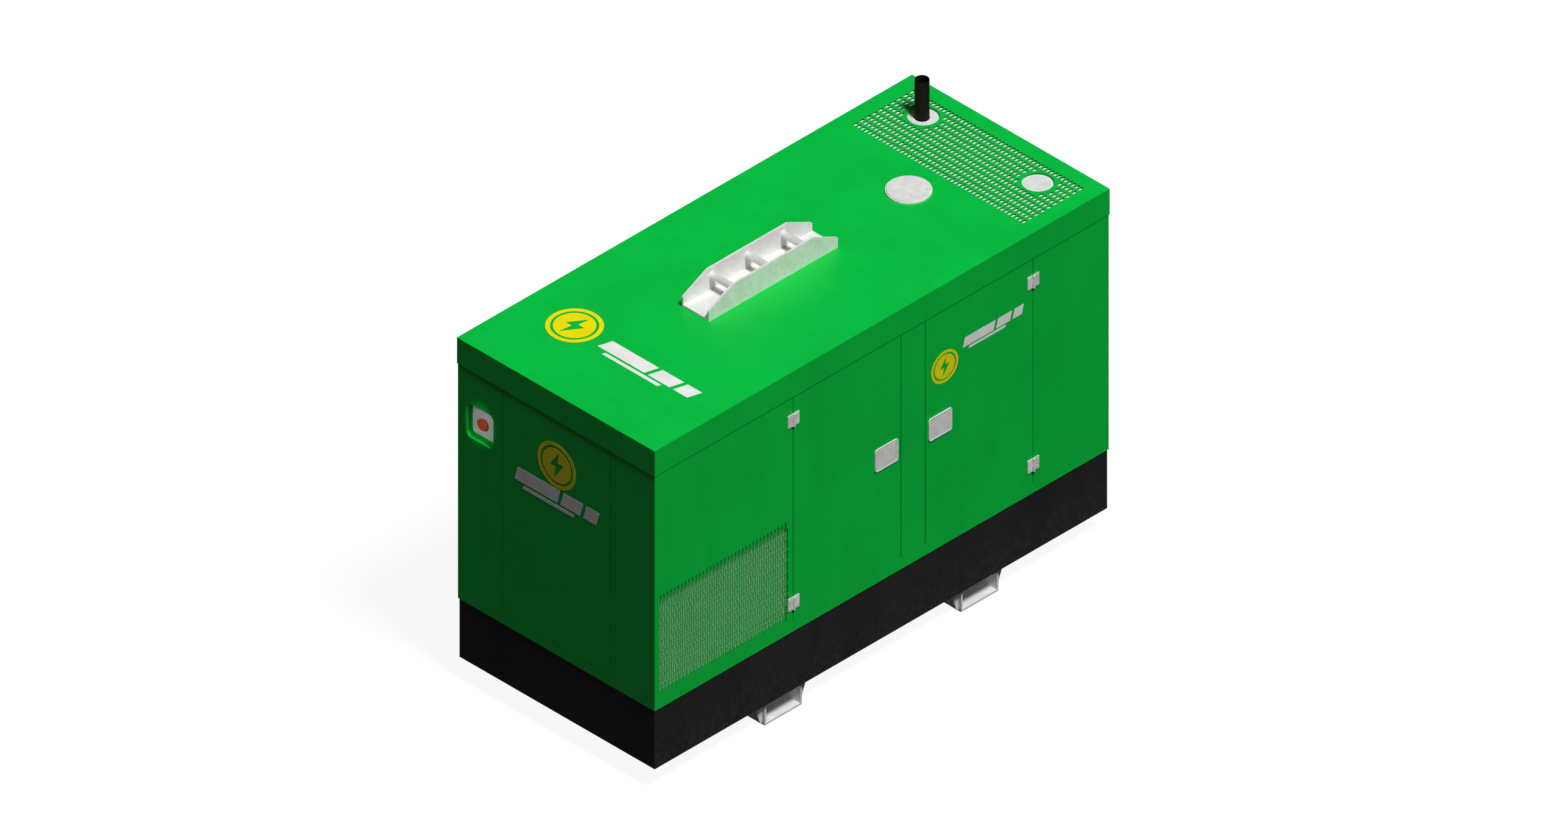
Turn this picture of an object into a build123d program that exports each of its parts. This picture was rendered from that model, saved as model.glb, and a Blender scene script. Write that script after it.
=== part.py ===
from build123d import *
import math
import os

# A diesel generator set in a sound-proofed canopy, on a skid base with fork pockets.
# +X runs from the control end to the radiator end, +Y is the left side and +Z is up.
# The origin lies on the ground under the centre of the roof. All sizes are in millimetres.

# Canopy, the sheet-metal house
canopy_length = 2308.0
canopy_width = 1000.0
sheet = 2.0
roof_top = 1505.0
roof_lip = 112.5
roof_overhang = 2.5
panel_return = 28.0
stop_lip = 18.0

# Door openings; both sides have two, hinged at their outer edges
first_opening = 702.5
opening_width = 550.5
post_width = 121.0
opening_low = 402.5
control_opening_low = 399.0
door_gap = 3.0
door_depth = 25.0

# Skid base and fork pockets
base_inset = 4.0
pocket_drop = 100.0
base_height = 259.0
base_plate = 4.0
base_flange = 50.0
beam_size = 60.0
beam_places = (-860.0, -290.0, 300.0, 860.0)
floor_plate = 3.0
pocket_width = 190.0
pocket_wall = 8.0
pocket_pitch = 998.5
pocket_shift = 16.0
pocket_recess = 13.0
gusset_plate = 6.0
gusset_setback = 14.0
gusset_top = 40.0
gusset_foot = 8.0
gusset_lift = 7.0

# Slots of the side intake grilles, upright, in staggered columns
intake_columns = 36
intake_plates = 6
intake_rows = 9
intake_pitch_x = 18.19
intake_pitch_z = 48.6
intake_slot_length = 45.0
intake_slot_width = 6.0
intake_from_end = 352.0
intake_centre_height = 637.5
intake_margin = 8.0
intake_baffle_gap = 13.0
baffle_sheet = 1.5

# Slots of the roof outlet grille, in straight rows, with two round holes
outlet_columns = 10
outlet_plates = 4
outlet_rows = 48
outlet_pitch_x = 31.8
outlet_pitch_y = 18.2
outlet_slot_length = 26.0
outlet_slot_width = 13.0
outlet_centre = 939.5
outlet_margin = 10.0
outlet_hole_radius = 59.0
outlet_hole_x = 1003.5
outlet_hole_spread = 291.0
outlet_hole_margin = 73.0
outlet_baffle_drop = 10.0

# Lifting channel and its bars
channel_length = 656.5
channel_width = 138.5
channel_height = 104.0
channel_plate = 8.5
channel_from_post = 279.5
channel_chamfer_length = 126.0
channel_chamfer_drop = 61.0
channel_corner = 8.0
bar_radius = 14.0
bar_pitch = 181.0
bar_height = 67.0

# Lifting frame inside the canopy
frame_tube = 50.0
frame_wall = 4.0
frame_inset = 34.0
frame_from_opening = 35.5
frame_rail_offset = 50.0

# Hinges
hinge_width = 58.0
hinge_height = 54.0
hinge_leaf = 3.5
knuckle_radius = 5.0
knuckle_clearance = 0.5
hinge_pin_radius = 2.5
hinge_inset = 101.0
hinge_lower_inset = 83.0
axial_gap = 0.3
pin_clearance = 0.05

# Paddle latches
latch_width = 118.0
latch_height = 99.0
latch_corner = 12.0
latch_plate = 3.0
latch_inset = 73.0
window_width = 96.0
window_height = 70.0
dish_wall = 2.0
dish_depth = 18.0
dish_clearance = 0.2
paddle_gap = 0.4
barrel_radius = 4.0
spindle_radius = 2.0

# Control door and its hidden pivots
control_pivot_inset = 55.0
control_pivot_depth = 10.0
pivot_radius = 5.0
pivot_collar = 10.0
pivot_reach = 10.0

# Emergency stop
estop_shift = 1.875
estop_z = 1170.5
recess_width = 137.0
recess_height = 147.0
recess_corner = 22.0
recess_depth = 25.6
estop_plate_width = 117.0
estop_plate_height = 123.0
estop_plate_corner = 12.0
estop_plate_thickness = 3.0
estop_head_radius = 23.5
estop_head_thickness = 8.5
estop_standoff = 6.0
estop_stem_radius = 8.0
estop_stem_clearance = 0.3
estop_stem_grip = 6.0
estop_block = 40.0
estop_block_length = 36.0
estop_stem_length = 44.0

# Filler cap on the roof
cap_x = 636.5
cap_radius = 85.5
cap_top_radius = 80.75
cap_flange = 6.5
cap_height = 10.0
cap_skirt_radius = 73.0
cap_skirt_depth = 14.0
cap_hole_clearance = 2.0

# Fuel tank and filler
tank_length = 1300.0
tank_width = 880.0
tank_wall = 3.0
neck_from_battery = 198.0
neck_y = -395.0
neck_radius = 28.0
neck_wall = 3.0
neck_top = 460.0
fuel_cap_radius = 38.0
fuel_cap_top = 12.0
fuel_cap_skirt = 16.0
fuel_cap_grip = 57.0
loose_clearance = 0.4

# Power train
crank_height = 690.0
bearer_height = 80.0
bearer_width = 70.0
bearer_offset = 185.0
bearer_rear = -760.0
bearer_wall = 5.0
mount_height = 30.0
mount_radius = 34.0
mount_places = (-680.0, -265.0, 240.0)
engine_rear = -230.0
engine_front = 330.0
block_half_width = 140.0
block_low = 600.0
block_high = 860.0
head_high = 960.0
rocker_high = 1020.0
sump_low = 480.0
sump_inset = 15.0
sump_end_inset = 30.0
head_inset = 10.0
head_end_inset = 20.0
rocker_end_inset = 40.0
rocker_half_width = 90.0
rocker_corner = 12.0
manifold_end_inset = 50.0
manifold_width = 60.0
exhaust_log_height = 70.0
intake_log_height = 60.0
outlet_x = 40.0
outlet_flange_width = 14.0
outlet_flange_length = 30.0
filter_radius = 90.0
filter_lid_radius = 96.0
filter_rise = 70.0
filter_offset = 50.0
filter_span = (-150.0, 160.0)
filter_lid_span = (130.0, 175.0)
filter_neck_half = 60.0
filter_neck_inset = 5.0
oil_filter_radius = 42.0
oil_filter_offset = 46.0
oil_filter_places = (168.0, 262.0)
oil_filter_z = (640.0, 780.0)
filter_head_x = (120.0, 310.0)
filter_head_width = 90.0
filter_head_thickness = 35.0
starter_radius = 42.0
starter_y = -205.0
starter_z = 640.0
starter_length = 210.0
solenoid_radius = 22.0
solenoid_z = 700.0
solenoid_length = 130.0
flywheel_radius = 240.0
flywheel_length = 70.0
alternator_radius = 200.0
alternator_bore = 130.0
alternator_length = 460.0
bracket_radius = 165.0
bracket_length = 45.0
terminal_box_centre = 190.0
terminal_box_length = 280.0
terminal_box_half_width = 120.0
terminal_box_height = 140.0
terminal_box_low = 170.0
crank_pulley_radius = 85.0
fan_pulley_radius = 60.0
pulley_width = 22.0
pulley_flange = 2.5
belt_thickness = 8.0
belt_clearance = 0.4
pulley_standoff = 55.0
crank_shaft_radius = 20.0
fan_shaft_radius = 15.0
fan_radius = 270.0
fan_hub_radius = 70.0
fan_blades = 7
fan_blade_width = 80.0
fan_blade_thickness = 4.0
fan_blade_angle = 35.0
fan_depth = 50.0
shaft_grip = 40.0

# Cooling pack
core_width = 600.0
core_low = 560.0
core_high = 1230.0
core_depth = 70.0
tank_height = 60.0
tank_overlap = 10.0
side_plate = 12.0
neck_bore_radius = 30.0
neck_length = 30.0
pressure_cap_radius = 36.0
pressure_cap_height = 16.0
shroud_depth = 70.0
shroud_sheet = 3.0
fan_tip_gap = 15.0
shroud_ring_length = 30.0
hose_radius = 22.0
hose_bend = 45.0
top_hose_y = 105.0
top_hose_z = 915.0
top_hose_run = 65.0
bottom_hose_y = -190.0
bottom_hose_run = 27.0
bottom_hose_drop = 25.0

# Exhaust
exhaust_height = 925.0
exhaust_pipe_radius = 28.0
exhaust_bend = 70.0
exhaust_turn_gap = 24.0
exhaust_entry = 5.0
exhaust_clearance = 25.0
silencer_radius = 110.0
silencer_length = 660.0
silencer_wall = 3.0
silencer_post = 50.0
silencer_post_offset = 200.0
stack_x = 1004.0
stack_y = 299.0
stack_radius = 27.2
stack_wall = 3.0
stack_rise = 157.0
stack_collar_radius = 33.0
stack_collar_height = 8.0
stack_collar_drop = 60.0
stack_clearance = 1.5
saddle_clearance = 0.2

# Control box
control_box_front = -1050.0
control_box_depth = 170.0
control_box_width = 470.0
control_box_low = 760.0
control_box_high = 1300.0
control_post = 40.0
fascia_thickness = 3.0
breaker_width = 105.0
breaker_height = 140.0
breaker_depth = 34.0
breaker_low = 800.0
lever_hub_radius = 9.0
lever_hub_length = 24.0
lever_length = 42.0
lever_width = 10.0
lever_pin_radius = 3.0
ear_thickness = 6.0
ear_height = 24.0
ear_gap = 0.4

# Battery
battery_from_post = 89.5
battery_length = 260.0
battery_y = (-440.0, -270.0)
battery_height = 208.0
battery_tray = 3.0
battery_post_radius = 8.0
battery_post_height = 16.0
battery_post_inset = 35.0

# Levels and places worked out from the values above
base_length = canopy_length - 2 * base_inset
base_width = canopy_width - 2 * base_inset
base_top = pocket_drop + base_height
deck_low = base_top - base_plate
beam_low = deck_low - beam_size
floor_low = pocket_drop + base_plate
tank_low = floor_low + floor_plate
roof_under = roof_top - sheet
opening_high = roof_top - roof_lip
end_x = canopy_length / 2
side_y = canopy_width / 2
side_inner = side_y - sheet
service_opening = (first_opening - end_x, first_opening + opening_width - end_x)
engine_opening = tuple(edge + opening_width + post_width for edge in service_opening)
post_centre = (service_opening[1] + engine_opening[0]) / 2
channel_centre = post_centre - channel_from_post
battery_x = (post_centre - battery_from_post - battery_length, post_centre - battery_from_post)
neck_x = battery_x[0] - neck_from_battery
frame_rear = service_opening[0] - frame_from_opening
intake_centre = intake_from_end - end_x
knuckle_standoff = knuckle_radius + knuckle_clearance
hinge_x = service_opening[0] + door_gap / 2
hinge_y = -side_y - knuckle_standoff
hinge_heights = (opening_low + hinge_lower_inset, opening_high - hinge_inset)
control_edge = opening_width / 2
estop_y = (control_edge + side_inner) / 2 + estop_shift
head_half_width = block_half_width - head_inset
mount_low = base_top + bearer_height
foot_low = mount_low + mount_height
fan_height = (core_low + core_high) / 2
core_front = cap_x - core_depth / 2
core_back = cap_x + core_depth / 2
shroud_front = core_front - shroud_depth
shroud_ring_radius = fan_radius + fan_tip_gap
exhaust_lane = core_width / 2 + side_plate + exhaust_clearance + exhaust_pipe_radius
pulley_x = engine_front + pulley_standoff
outlet_half_x = (outlet_columns - 1) * outlet_pitch_x / 2 + outlet_slot_length / 2 + outlet_margin
outlet_half_y = (outlet_rows - 1) * outlet_pitch_y / 2 + outlet_slot_width / 2 + outlet_margin
estop_floor = recess_depth - end_x
estop_face = estop_floor - estop_plate_thickness
estop_head_back = estop_face - estop_standoff
stack_top = roof_top + stack_rise
alternator_front = engine_rear - flywheel_length
alternator_rear = alternator_front - alternator_length


def block(x_span, y_span, z_span):
    spans = (x_span, y_span, z_span)
    size = [high - low for low, high in spans]
    middle = [(high + low) / 2 for low, high in spans]
    return Pos(*middle) * Box(*size)


def about(centre, size):
    return (centre - size / 2, centre + size / 2)


def both(half):
    return (-half, half)


def rod(radius, start, end):
    span = Vector(*end) - Vector(*start)
    upright = Cylinder(radius, span.length, align=(Align.CENTER, Align.CENTER, Align.MIN))
    return Plane(origin=start, z_dir=span) * upright


def tube(radius, bore, start, end):
    return rod(radius, start, end) - rod(bore, start, end)


# A hollow square bar, open at both ends of the axis it runs along.
def hollow_bar(x_span, y_span, z_span, wall, axis):
    spans = [x_span, y_span, z_span]
    inner = [(low + wall, high - wall) for low, high in spans]
    inner[axis] = spans[axis]
    return block(*spans) - block(*inner)


# A rounded plate that faces -Y, with its front face at y = 0.
def rounded_plate(width, height, corner, thickness):
    return Rot(90, 0, 0) * extrude(RectangleRounded(width, height, corner), -thickness)


# A pressed panel that faces -Y. Its sheet starts at y = 0 and its edges fold back.
# Top and bottom folds stop short of the panel's ends by the two reliefs.
def pressed_panel(x_span, z_span, folds, depth=panel_return, reliefs=(0, 0)):
    x_low, x_high = x_span
    z_low, z_high = z_span
    inset = (x_low + reliefs[0], x_high - reliefs[1])
    edges = {
        "left": ((x_low, x_low + sheet), z_span),
        "right": ((x_high - sheet, x_high), z_span),
        "bottom": (inset, (z_low, z_low + sheet)),
        "top": (inset, (z_high - sheet, z_high)),
    }
    panel = block(x_span, (0, sheet), z_span)
    for fold in folds:
        across, up = edges[fold]
        panel += block(across, (0, depth), up)
    return panel


# A strip behind a fold that stands out into an opening, for the door to close on.
def stop_strip(x_span, z_span):
    return block(x_span, (panel_return, panel_return + sheet), z_span)


def on_right_side(shape):
    return Pos(0, -side_y, 0) * shape


def on_control_end(shape):
    return Pos(-end_x, 0, 0) * Rot(0, 0, -90) * shape


def on_radiator_end(shape):
    return Pos(end_x, 0, 0) * Rot(0, 0, 90) * shape


def to_left_side(shape):
    return mirror(shape, about=Plane.XZ)


def to_engine_door(shape):
    return mirror(shape, about=Plane.YZ.offset(post_centre))


def with_left_side(shapes):
    return [*shapes, *[to_left_side(shape) for shape in shapes]]


# A punched plate in the XY plane, one sheet thick upwards, with the cuts that lie inside it.
def punched_plate(x_span, y_span, cuts):
    (x_low, x_high), (y_low, y_high) = x_span, y_span
    outline = Pos(sum(x_span) / 2, sum(y_span) / 2) * Rectangle(x_high - x_low, y_high - y_low)
    inside = [
        shape.face().outer_wire()
        for x, y, shape in cuts
        if x_low < x < x_high and y_low < y < y_high
    ]
    return extrude(Face(outline.face().outer_wire(), inside), sheet, clean=False)


# Edges between a grille's punched plates, with a plain margin outside the first and last.
def plate_edges(centre, pitch, count, plates, half):
    inner = [centre + (step - plates / 2) * pitch * count / plates for step in range(1, plates)]
    edges = [centre - half, *inner, centre + half]
    return list(zip(edges[:-1], edges[1:]))


def base_frame():
    half_length = base_length / 2
    half_width = base_width / 2
    height = (pocket_drop, base_top)
    inner_end = half_length - base_plate
    inner_side = half_width - base_plate
    flange_side = half_width - base_flange
    rail = block(both(half_length), (-half_width, -inner_side), height)
    end_rail = block((-half_length, -inner_end), both(inner_side), height)
    for low in (pocket_drop, deck_low):
        level = (low, low + base_plate)
        rail += block(both(inner_end), (-half_width, -flange_side), level)
        end_rail += block((-half_length, base_flange - half_length), both(flange_side), level)
    beams = [
        hollow_bar(about(x, beam_size), both(inner_side), (beam_low, deck_low), base_plate, 1)
        for x in beam_places
    ]
    floor = block(both(inner_end), both(inner_side), (floor_low, tank_low))
    return [*with_left_side([rail]), end_rail, mirror(end_rail, about=Plane.YZ), *beams, floor]


def deck_plate():
    inner_end = base_length / 2 - base_flange
    inner_side = base_width / 2 - base_flange
    deck = block(both(inner_end), both(inner_side), (deck_low, base_top))
    hole = neck_radius + cap_hole_clearance
    return [deck - rod(hole, (neck_x, neck_y, deck_low), (neck_x, neck_y, base_top))]


def pocket_centres():
    return (pocket_shift - pocket_pitch / 2, pocket_shift + pocket_pitch / 2)


def fork_pockets():
    half_length = base_width / 2 - pocket_recess
    pockets = [
        hollow_bar(about(x, pocket_width), both(half_length), (0, pocket_drop), pocket_wall, 1)
        for x in pocket_centres()
    ]
    return [*pockets, *fork_gussets()]


def fork_gussets():
    face = pocket_recess + gusset_setback - base_width / 2
    foot = [(0, gusset_lift), (gusset_foot, gusset_lift)]
    outline = Polyline(*foot, (gusset_top, pocket_drop), (0, pocket_drop), close=True)
    gusset = Rot(90, 0, 0) * extrude(make_face(outline), -gusset_plate)
    gussets = []
    for x in pocket_centres():
        outer = Pos(x + pocket_width / 2, face, 0) * gusset
        gussets += [outer, mirror(outer, about=Plane.YZ.offset(x))]
    return with_left_side(gussets)


def fuel_tank():
    outer = block(both(tank_length / 2), both(tank_width / 2), (tank_low, beam_low))
    inner = block(
        both(tank_length / 2 - tank_wall),
        both(tank_width / 2 - tank_wall),
        (tank_low + tank_wall, beam_low - tank_wall),
    )
    neck_start = (neck_x, neck_y, beam_low - tank_wall)
    neck = rod(neck_radius, neck_start, (neck_x, neck_y, neck_top))
    bore = rod(neck_radius - neck_wall, neck_start, (neck_x, neck_y, neck_top))
    return [(outer - inner) + neck - bore]


def fuel_cap():
    low = neck_top - fuel_cap_skirt
    high = neck_top + loose_clearance + fuel_cap_top
    cap = rod(fuel_cap_radius, (neck_x, neck_y, low), (neck_x, neck_y, high))
    seat = neck_top + loose_clearance
    cap -= rod(neck_radius + loose_clearance, (neck_x, neck_y, low), (neck_x, neck_y, seat))
    grip = (about(neck_x, fuel_cap_grip), about(neck_y, fuel_cap_top))
    return [cap + block(*grip, (high, high + fuel_cap_top))]


def engine_bearers():
    across = about(-bearer_offset, bearer_width)
    bearer = hollow_bar((bearer_rear, engine_front), across, (base_top, mount_low), bearer_wall, 0)
    return with_left_side([bearer])


def rubber_mounts():
    right = [
        rod(mount_radius, (x, -bearer_offset, mount_low), (x, -bearer_offset, foot_low))
        for x in mount_places
    ]
    return with_left_side(right)


# Two feet, one each side, that stand on the rubber mounts.
def feet(x_span, inner, top):
    foot = block(x_span, (-bearer_offset - mount_radius, -inner), (foot_low, top))
    return foot + to_left_side(foot)


def engine_block():
    body = block((engine_rear, engine_front), both(block_half_width), (block_low, block_high))
    body += feet(about(mount_places[2], 2 * mount_radius), block_half_width, block_low + mount_radius)
    pump = block(
        (engine_front, pulley_x - pulley_flange - belt_clearance),
        both(fan_pulley_radius),
        about(fan_height, 2 * fan_pulley_radius),
    )
    for height, radius in ((crank_height, crank_shaft_radius), (fan_height, fan_shaft_radius)):
        bore = rod(radius + pin_clearance, (engine_front - shaft_grip, 0, height), (pulley_x, 0, height))
        body -= bore
        pump -= bore
    return [body, pump]


def oil_sump():
    along = (engine_rear + sump_end_inset, engine_front - sump_end_inset)
    return [block(along, both(block_half_width - sump_inset), (sump_low, block_low))]


def cylinder_head():
    along = (engine_rear + head_end_inset, engine_front - head_end_inset)
    head = block(along, both(head_half_width), (block_high, head_high))
    start = (engine_front - shaft_grip, 0, fan_height)
    return [head - rod(fan_shaft_radius + pin_clearance, start, (engine_front, 0, fan_height))]


def rocker_cover():
    along = (engine_rear + rocker_end_inset, engine_front - rocker_end_inset)
    cover = block(along, both(rocker_half_width), (head_high, rocker_high))
    rounded = cover.edges().filter_by(Axis.Z) + cover.faces().sort_by(Axis.Z)[-1].edges()
    return [fillet(rounded, rocker_corner)]


def exhaust_manifold():
    along = (engine_rear + manifold_end_inset, engine_front - manifold_end_inset)
    log_side = head_half_width + manifold_width
    log = block(along, (head_half_width, log_side), about(exhaust_height, exhaust_log_height))
    start = (outlet_x, log_side, exhaust_height)
    end = (outlet_x, log_side + outlet_flange_length, exhaust_height)
    return [log, rod(exhaust_pipe_radius + outlet_flange_width, start, end)]


def air_intake():
    along = (engine_rear + manifold_end_inset, engine_front - manifold_end_inset)
    side = -head_half_width
    manifold = block(along, (side - manifold_width, side), about(exhaust_height, intake_log_height))
    axis = (side - filter_offset, rocker_high + filter_rise)
    canister = rod(filter_radius, (filter_span[0], *axis), (filter_span[1], *axis))
    canister += rod(filter_lid_radius, (filter_lid_span[0], *axis), (filter_lid_span[1], *axis))
    seat = rod(filter_radius + saddle_clearance, (filter_span[0], *axis), (filter_lid_span[0], *axis))
    neck_y_span = (side - manifold_width + filter_neck_inset, side - filter_neck_inset)
    neck_z_span = (exhaust_height + intake_log_height / 2, axis[1])
    neck = block(both(filter_neck_half), neck_y_span, neck_z_span) - seat
    return [manifold, canister, neck.solids().sort_by(Axis.Z)[0]]


def service_filters():
    side = -block_half_width
    low, high = oil_filter_z
    heads = block(filter_head_x, (side - filter_head_width, side), (high, high + filter_head_thickness))
    y = side - oil_filter_offset
    return [heads, *[rod(oil_filter_radius, (x, y, low), (x, y, high)) for x in oil_filter_places]]


def starter_motor():
    motor_start = (engine_rear, starter_y, starter_z)
    motor = rod(starter_radius, motor_start, (engine_rear + starter_length, starter_y, starter_z))
    solenoid_start = (engine_rear, starter_y, solenoid_z)
    solenoid_end = (engine_rear + solenoid_length, starter_y, solenoid_z)
    return [motor + rod(solenoid_radius, solenoid_start, solenoid_end)]


def flywheel_housing():
    housing = rod(flywheel_radius, (alternator_front, 0, crank_height), (engine_rear, 0, crank_height))
    span = (alternator_front, engine_rear)
    return [housing + feet(span, block_half_width, block_low)]


def alternator():
    start = (alternator_rear, 0, crank_height)
    end = (alternator_front, 0, crank_height)
    frame = tube(alternator_radius, alternator_bore, start, end)
    foot = about(mount_places[0], 2 * mount_radius)
    frame += feet(foot, alternator_bore, block_low)
    bracket = rod(bracket_radius, (alternator_rear - bracket_length, 0, crank_height), start)
    box_low = crank_height + terminal_box_low
    along = about(alternator_rear + terminal_box_centre, terminal_box_length)
    box = block(along, both(terminal_box_half_width), (box_low, box_low + terminal_box_height))
    box -= rod(alternator_radius + saddle_clearance, start, end)
    return [frame, bracket, box.solids().sort_by(Axis.Z)[-1]]


# A pulley with a flange each side of its belt seat, on a shaft that runs into the engine.
def pulley(radius, height, shaft_radius):
    seat = rod(radius, (pulley_x, 0, height), (pulley_x + pulley_width, 0, height))
    flange = radius + belt_thickness
    for start in (pulley_x - pulley_flange, pulley_x + pulley_width):
        seat += rod(flange, (start, 0, height), (start + pulley_flange, 0, height))
    shaft_start = (engine_front - shaft_grip + axial_gap, 0, height)
    return seat + rod(shaft_radius, shaft_start, (pulley_x, 0, height))


def crank_pulley():
    return [pulley(crank_pulley_radius, crank_height, crank_shaft_radius)]


def cooling_fan():
    fan_back = shroud_front - shroud_ring_length / 3
    middle = fan_back - fan_depth / 2
    fan = pulley(fan_pulley_radius, fan_height, fan_shaft_radius)
    fan += rod(fan_shaft_radius * 2, (pulley_x + pulley_width, 0, fan_height), (middle, 0, fan_height))
    fan += rod(fan_hub_radius, (fan_back - fan_depth, 0, fan_height), (fan_back, 0, fan_height))
    reach = fan_radius - fan_hub_radius / 2
    blade = Pos(0, 0, fan_hub_radius / 2 + reach / 2) * Rot(0, 0, fan_blade_angle) * Box(
        fan_blade_thickness, fan_blade_width, reach
    )
    blade &= Rot(0, 90, 0) * Cylinder(fan_radius, fan_blade_width)
    for turn in range(fan_blades):
        fan += Pos(middle, 0, fan_height) * Rot(turn * 360 / fan_blades, 0, 0) * blade
    return [fan]


# The belt runs round both pulleys, a little clear of their seats.
def belt_outline(extra):
    rings = [
        Pos(0, crank_height) * Circle(crank_pulley_radius + extra),
        Pos(0, fan_height) * Circle(fan_pulley_radius + extra),
    ]
    return make_hull([edge for ring in rings for edge in ring.edges()])


def drive_belt():
    band = belt_outline(belt_clearance + belt_thickness) - belt_outline(belt_clearance)
    flat = extrude(band, pulley_width - 2 * belt_clearance)
    upright = Plane(origin=(pulley_x + belt_clearance, 0, 0), x_dir=(0, 1, 0), z_dir=(1, 0, 0))
    return [upright * flat]


def radiator():
    half = core_width / 2
    tank_span = (core_front - tank_overlap, core_back + tank_overlap)
    core = block((core_front, core_back), both(half), (core_low, core_high))
    top_tank = block(tank_span, both(half), (core_high, core_high + tank_height))
    bottom_tank = block(tank_span, both(half), (core_low - tank_height, core_low))
    side = block(tank_span, (-half - side_plate, -half), (base_top, core_high + tank_height))
    neck_low = core_high + tank_height
    neck_high = neck_low + neck_length
    neck = rod(neck_bore_radius, (cap_x, 0, neck_low), (cap_x, 0, neck_high))
    cap_high = neck_high + pressure_cap_height
    pressure_cap = rod(pressure_cap_radius, (cap_x, 0, neck_high), (cap_x, 0, cap_high))
    return [core, top_tank, bottom_tank, *with_left_side([side]), neck, pressure_cap]


def fan_shroud():
    half = core_width / 2
    shroud = block((shroud_front, core_front), both(half), (core_low, core_high))
    shroud -= block(
        (shroud_front + shroud_sheet, core_front),
        both(half - shroud_sheet),
        (core_low + shroud_sheet, core_high - shroud_sheet),
    )
    ring_front = shroud_front - shroud_ring_length
    inside = shroud_front + shroud_sheet
    shroud += rod(shroud_ring_radius + shroud_sheet, (ring_front, 0, fan_height), (inside, 0, fan_height))
    return [shroud - rod(shroud_ring_radius, (ring_front, 0, fan_height), (inside, 0, fan_height))]


# A bent round tube: straight runs joined by tangent arcs.
def bent_tube(radius, bend, points):
    path = FilletPolyline(*points, radius=bend)
    start = Plane(origin=path @ 0, z_dir=path % 0)
    return sweep(start * Circle(radius), path=path)


def coolant_hoses():
    head_front = engine_front - head_end_inset
    tank_face = core_front - tank_overlap
    top_z = core_high + tank_height / 2
    low_z = core_low - tank_height / 2
    rise_x = head_front + top_hose_run
    top = [
        (head_front, top_hose_y, top_hose_z),
        (rise_x, top_hose_y, top_hose_z),
        (rise_x, top_hose_y, top_z),
        (tank_face, top_hose_y, top_z),
    ]
    run_x = engine_front + bottom_hose_run
    pump_z = fan_height - bottom_hose_drop
    bottom = [
        (tank_face, bottom_hose_y, low_z),
        (run_x, bottom_hose_y, low_z),
        (run_x, bottom_hose_y, pump_z),
        (run_x, -fan_pulley_radius, pump_z),
    ]
    return [bent_tube(hose_radius, hose_bend, top), bent_tube(hose_radius, hose_bend, bottom)]


def silencer_axis(radius, half_length):
    return rod(radius, (stack_x, -half_length, exhaust_height), (stack_x, half_length, exhaust_height))


def exhaust_pipe():
    start_y = head_half_width + manifold_width + outlet_flange_length
    turn_x = stack_x - silencer_radius - exhaust_bend - exhaust_turn_gap
    points = [
        (outlet_x, start_y, exhaust_height),
        (outlet_x, exhaust_lane, exhaust_height),
        (turn_x, exhaust_lane, exhaust_height),
        (turn_x, 0, exhaust_height),
        (stack_x - silencer_radius + exhaust_entry, 0, exhaust_height),
    ]
    pipe = bent_tube(exhaust_pipe_radius, exhaust_bend, points)
    return [pipe - silencer_axis(silencer_radius + saddle_clearance, silencer_length / 2)]


def silencer():
    half = silencer_length / 2
    inside = silencer_axis(silencer_radius - silencer_wall, half - silencer_wall)
    body = silencer_axis(silencer_radius, half) - inside
    seat = silencer_axis(silencer_radius + saddle_clearance, half)
    post_y = about(-silencer_post_offset, silencer_post)
    post = block(about(stack_x, silencer_post), post_y, (base_top, exhaust_height)) - seat
    post = post.solids().sort_by(Axis.Z)[0]
    return [body, *with_left_side([post])]


def exhaust_stack():
    bottom = (stack_x, stack_y, exhaust_height + silencer_radius / 2)
    top = (stack_x, stack_y, stack_top)
    stack = tube(stack_radius, stack_radius - stack_wall, bottom, top)
    collar_low = roof_top - stack_collar_drop - stack_collar_height
    collar_high = roof_top - stack_collar_drop
    collar = ((stack_x, stack_y, collar_low), (stack_x, stack_y, collar_high))
    stack += tube(stack_collar_radius, stack_radius, *collar)
    return [stack - silencer_axis(silencer_radius + saddle_clearance, silencer_length / 2)]


def battery():
    tray = block(battery_x, battery_y, (base_top, base_top + battery_tray))
    low = base_top + battery_tray
    case = block(battery_x, battery_y, (low, low + battery_height))
    top = low + battery_height
    middle = sum(battery_y) / 2
    posts = [
        rod(battery_post_radius, (x, middle, top), (x, middle, top + battery_post_height))
        for x in (battery_x[0] + battery_post_inset, battery_x[1] - battery_post_inset)
    ]
    return [tray, case, *posts]


def control_box():
    half = control_box_width / 2
    back = control_box_front + control_box_depth
    box = block((control_box_front, back), both(half), (control_box_low, control_box_high))
    box -= block(
        (control_box_front, back - sheet),
        both(half - sheet),
        (control_box_low + sheet, control_box_high - sheet),
    )
    post_x = about((control_box_front + back) / 2, control_post)
    post_y = (-half, control_post - half)
    post = hollow_bar(post_x, post_y, (base_top, control_box_low), sheet, 2)
    return [box, *with_left_side([post])]


def lever_height():
    return breaker_low + breaker_height / 2


def breaker_face():
    return control_box_front - fascia_thickness - breaker_depth


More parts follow.
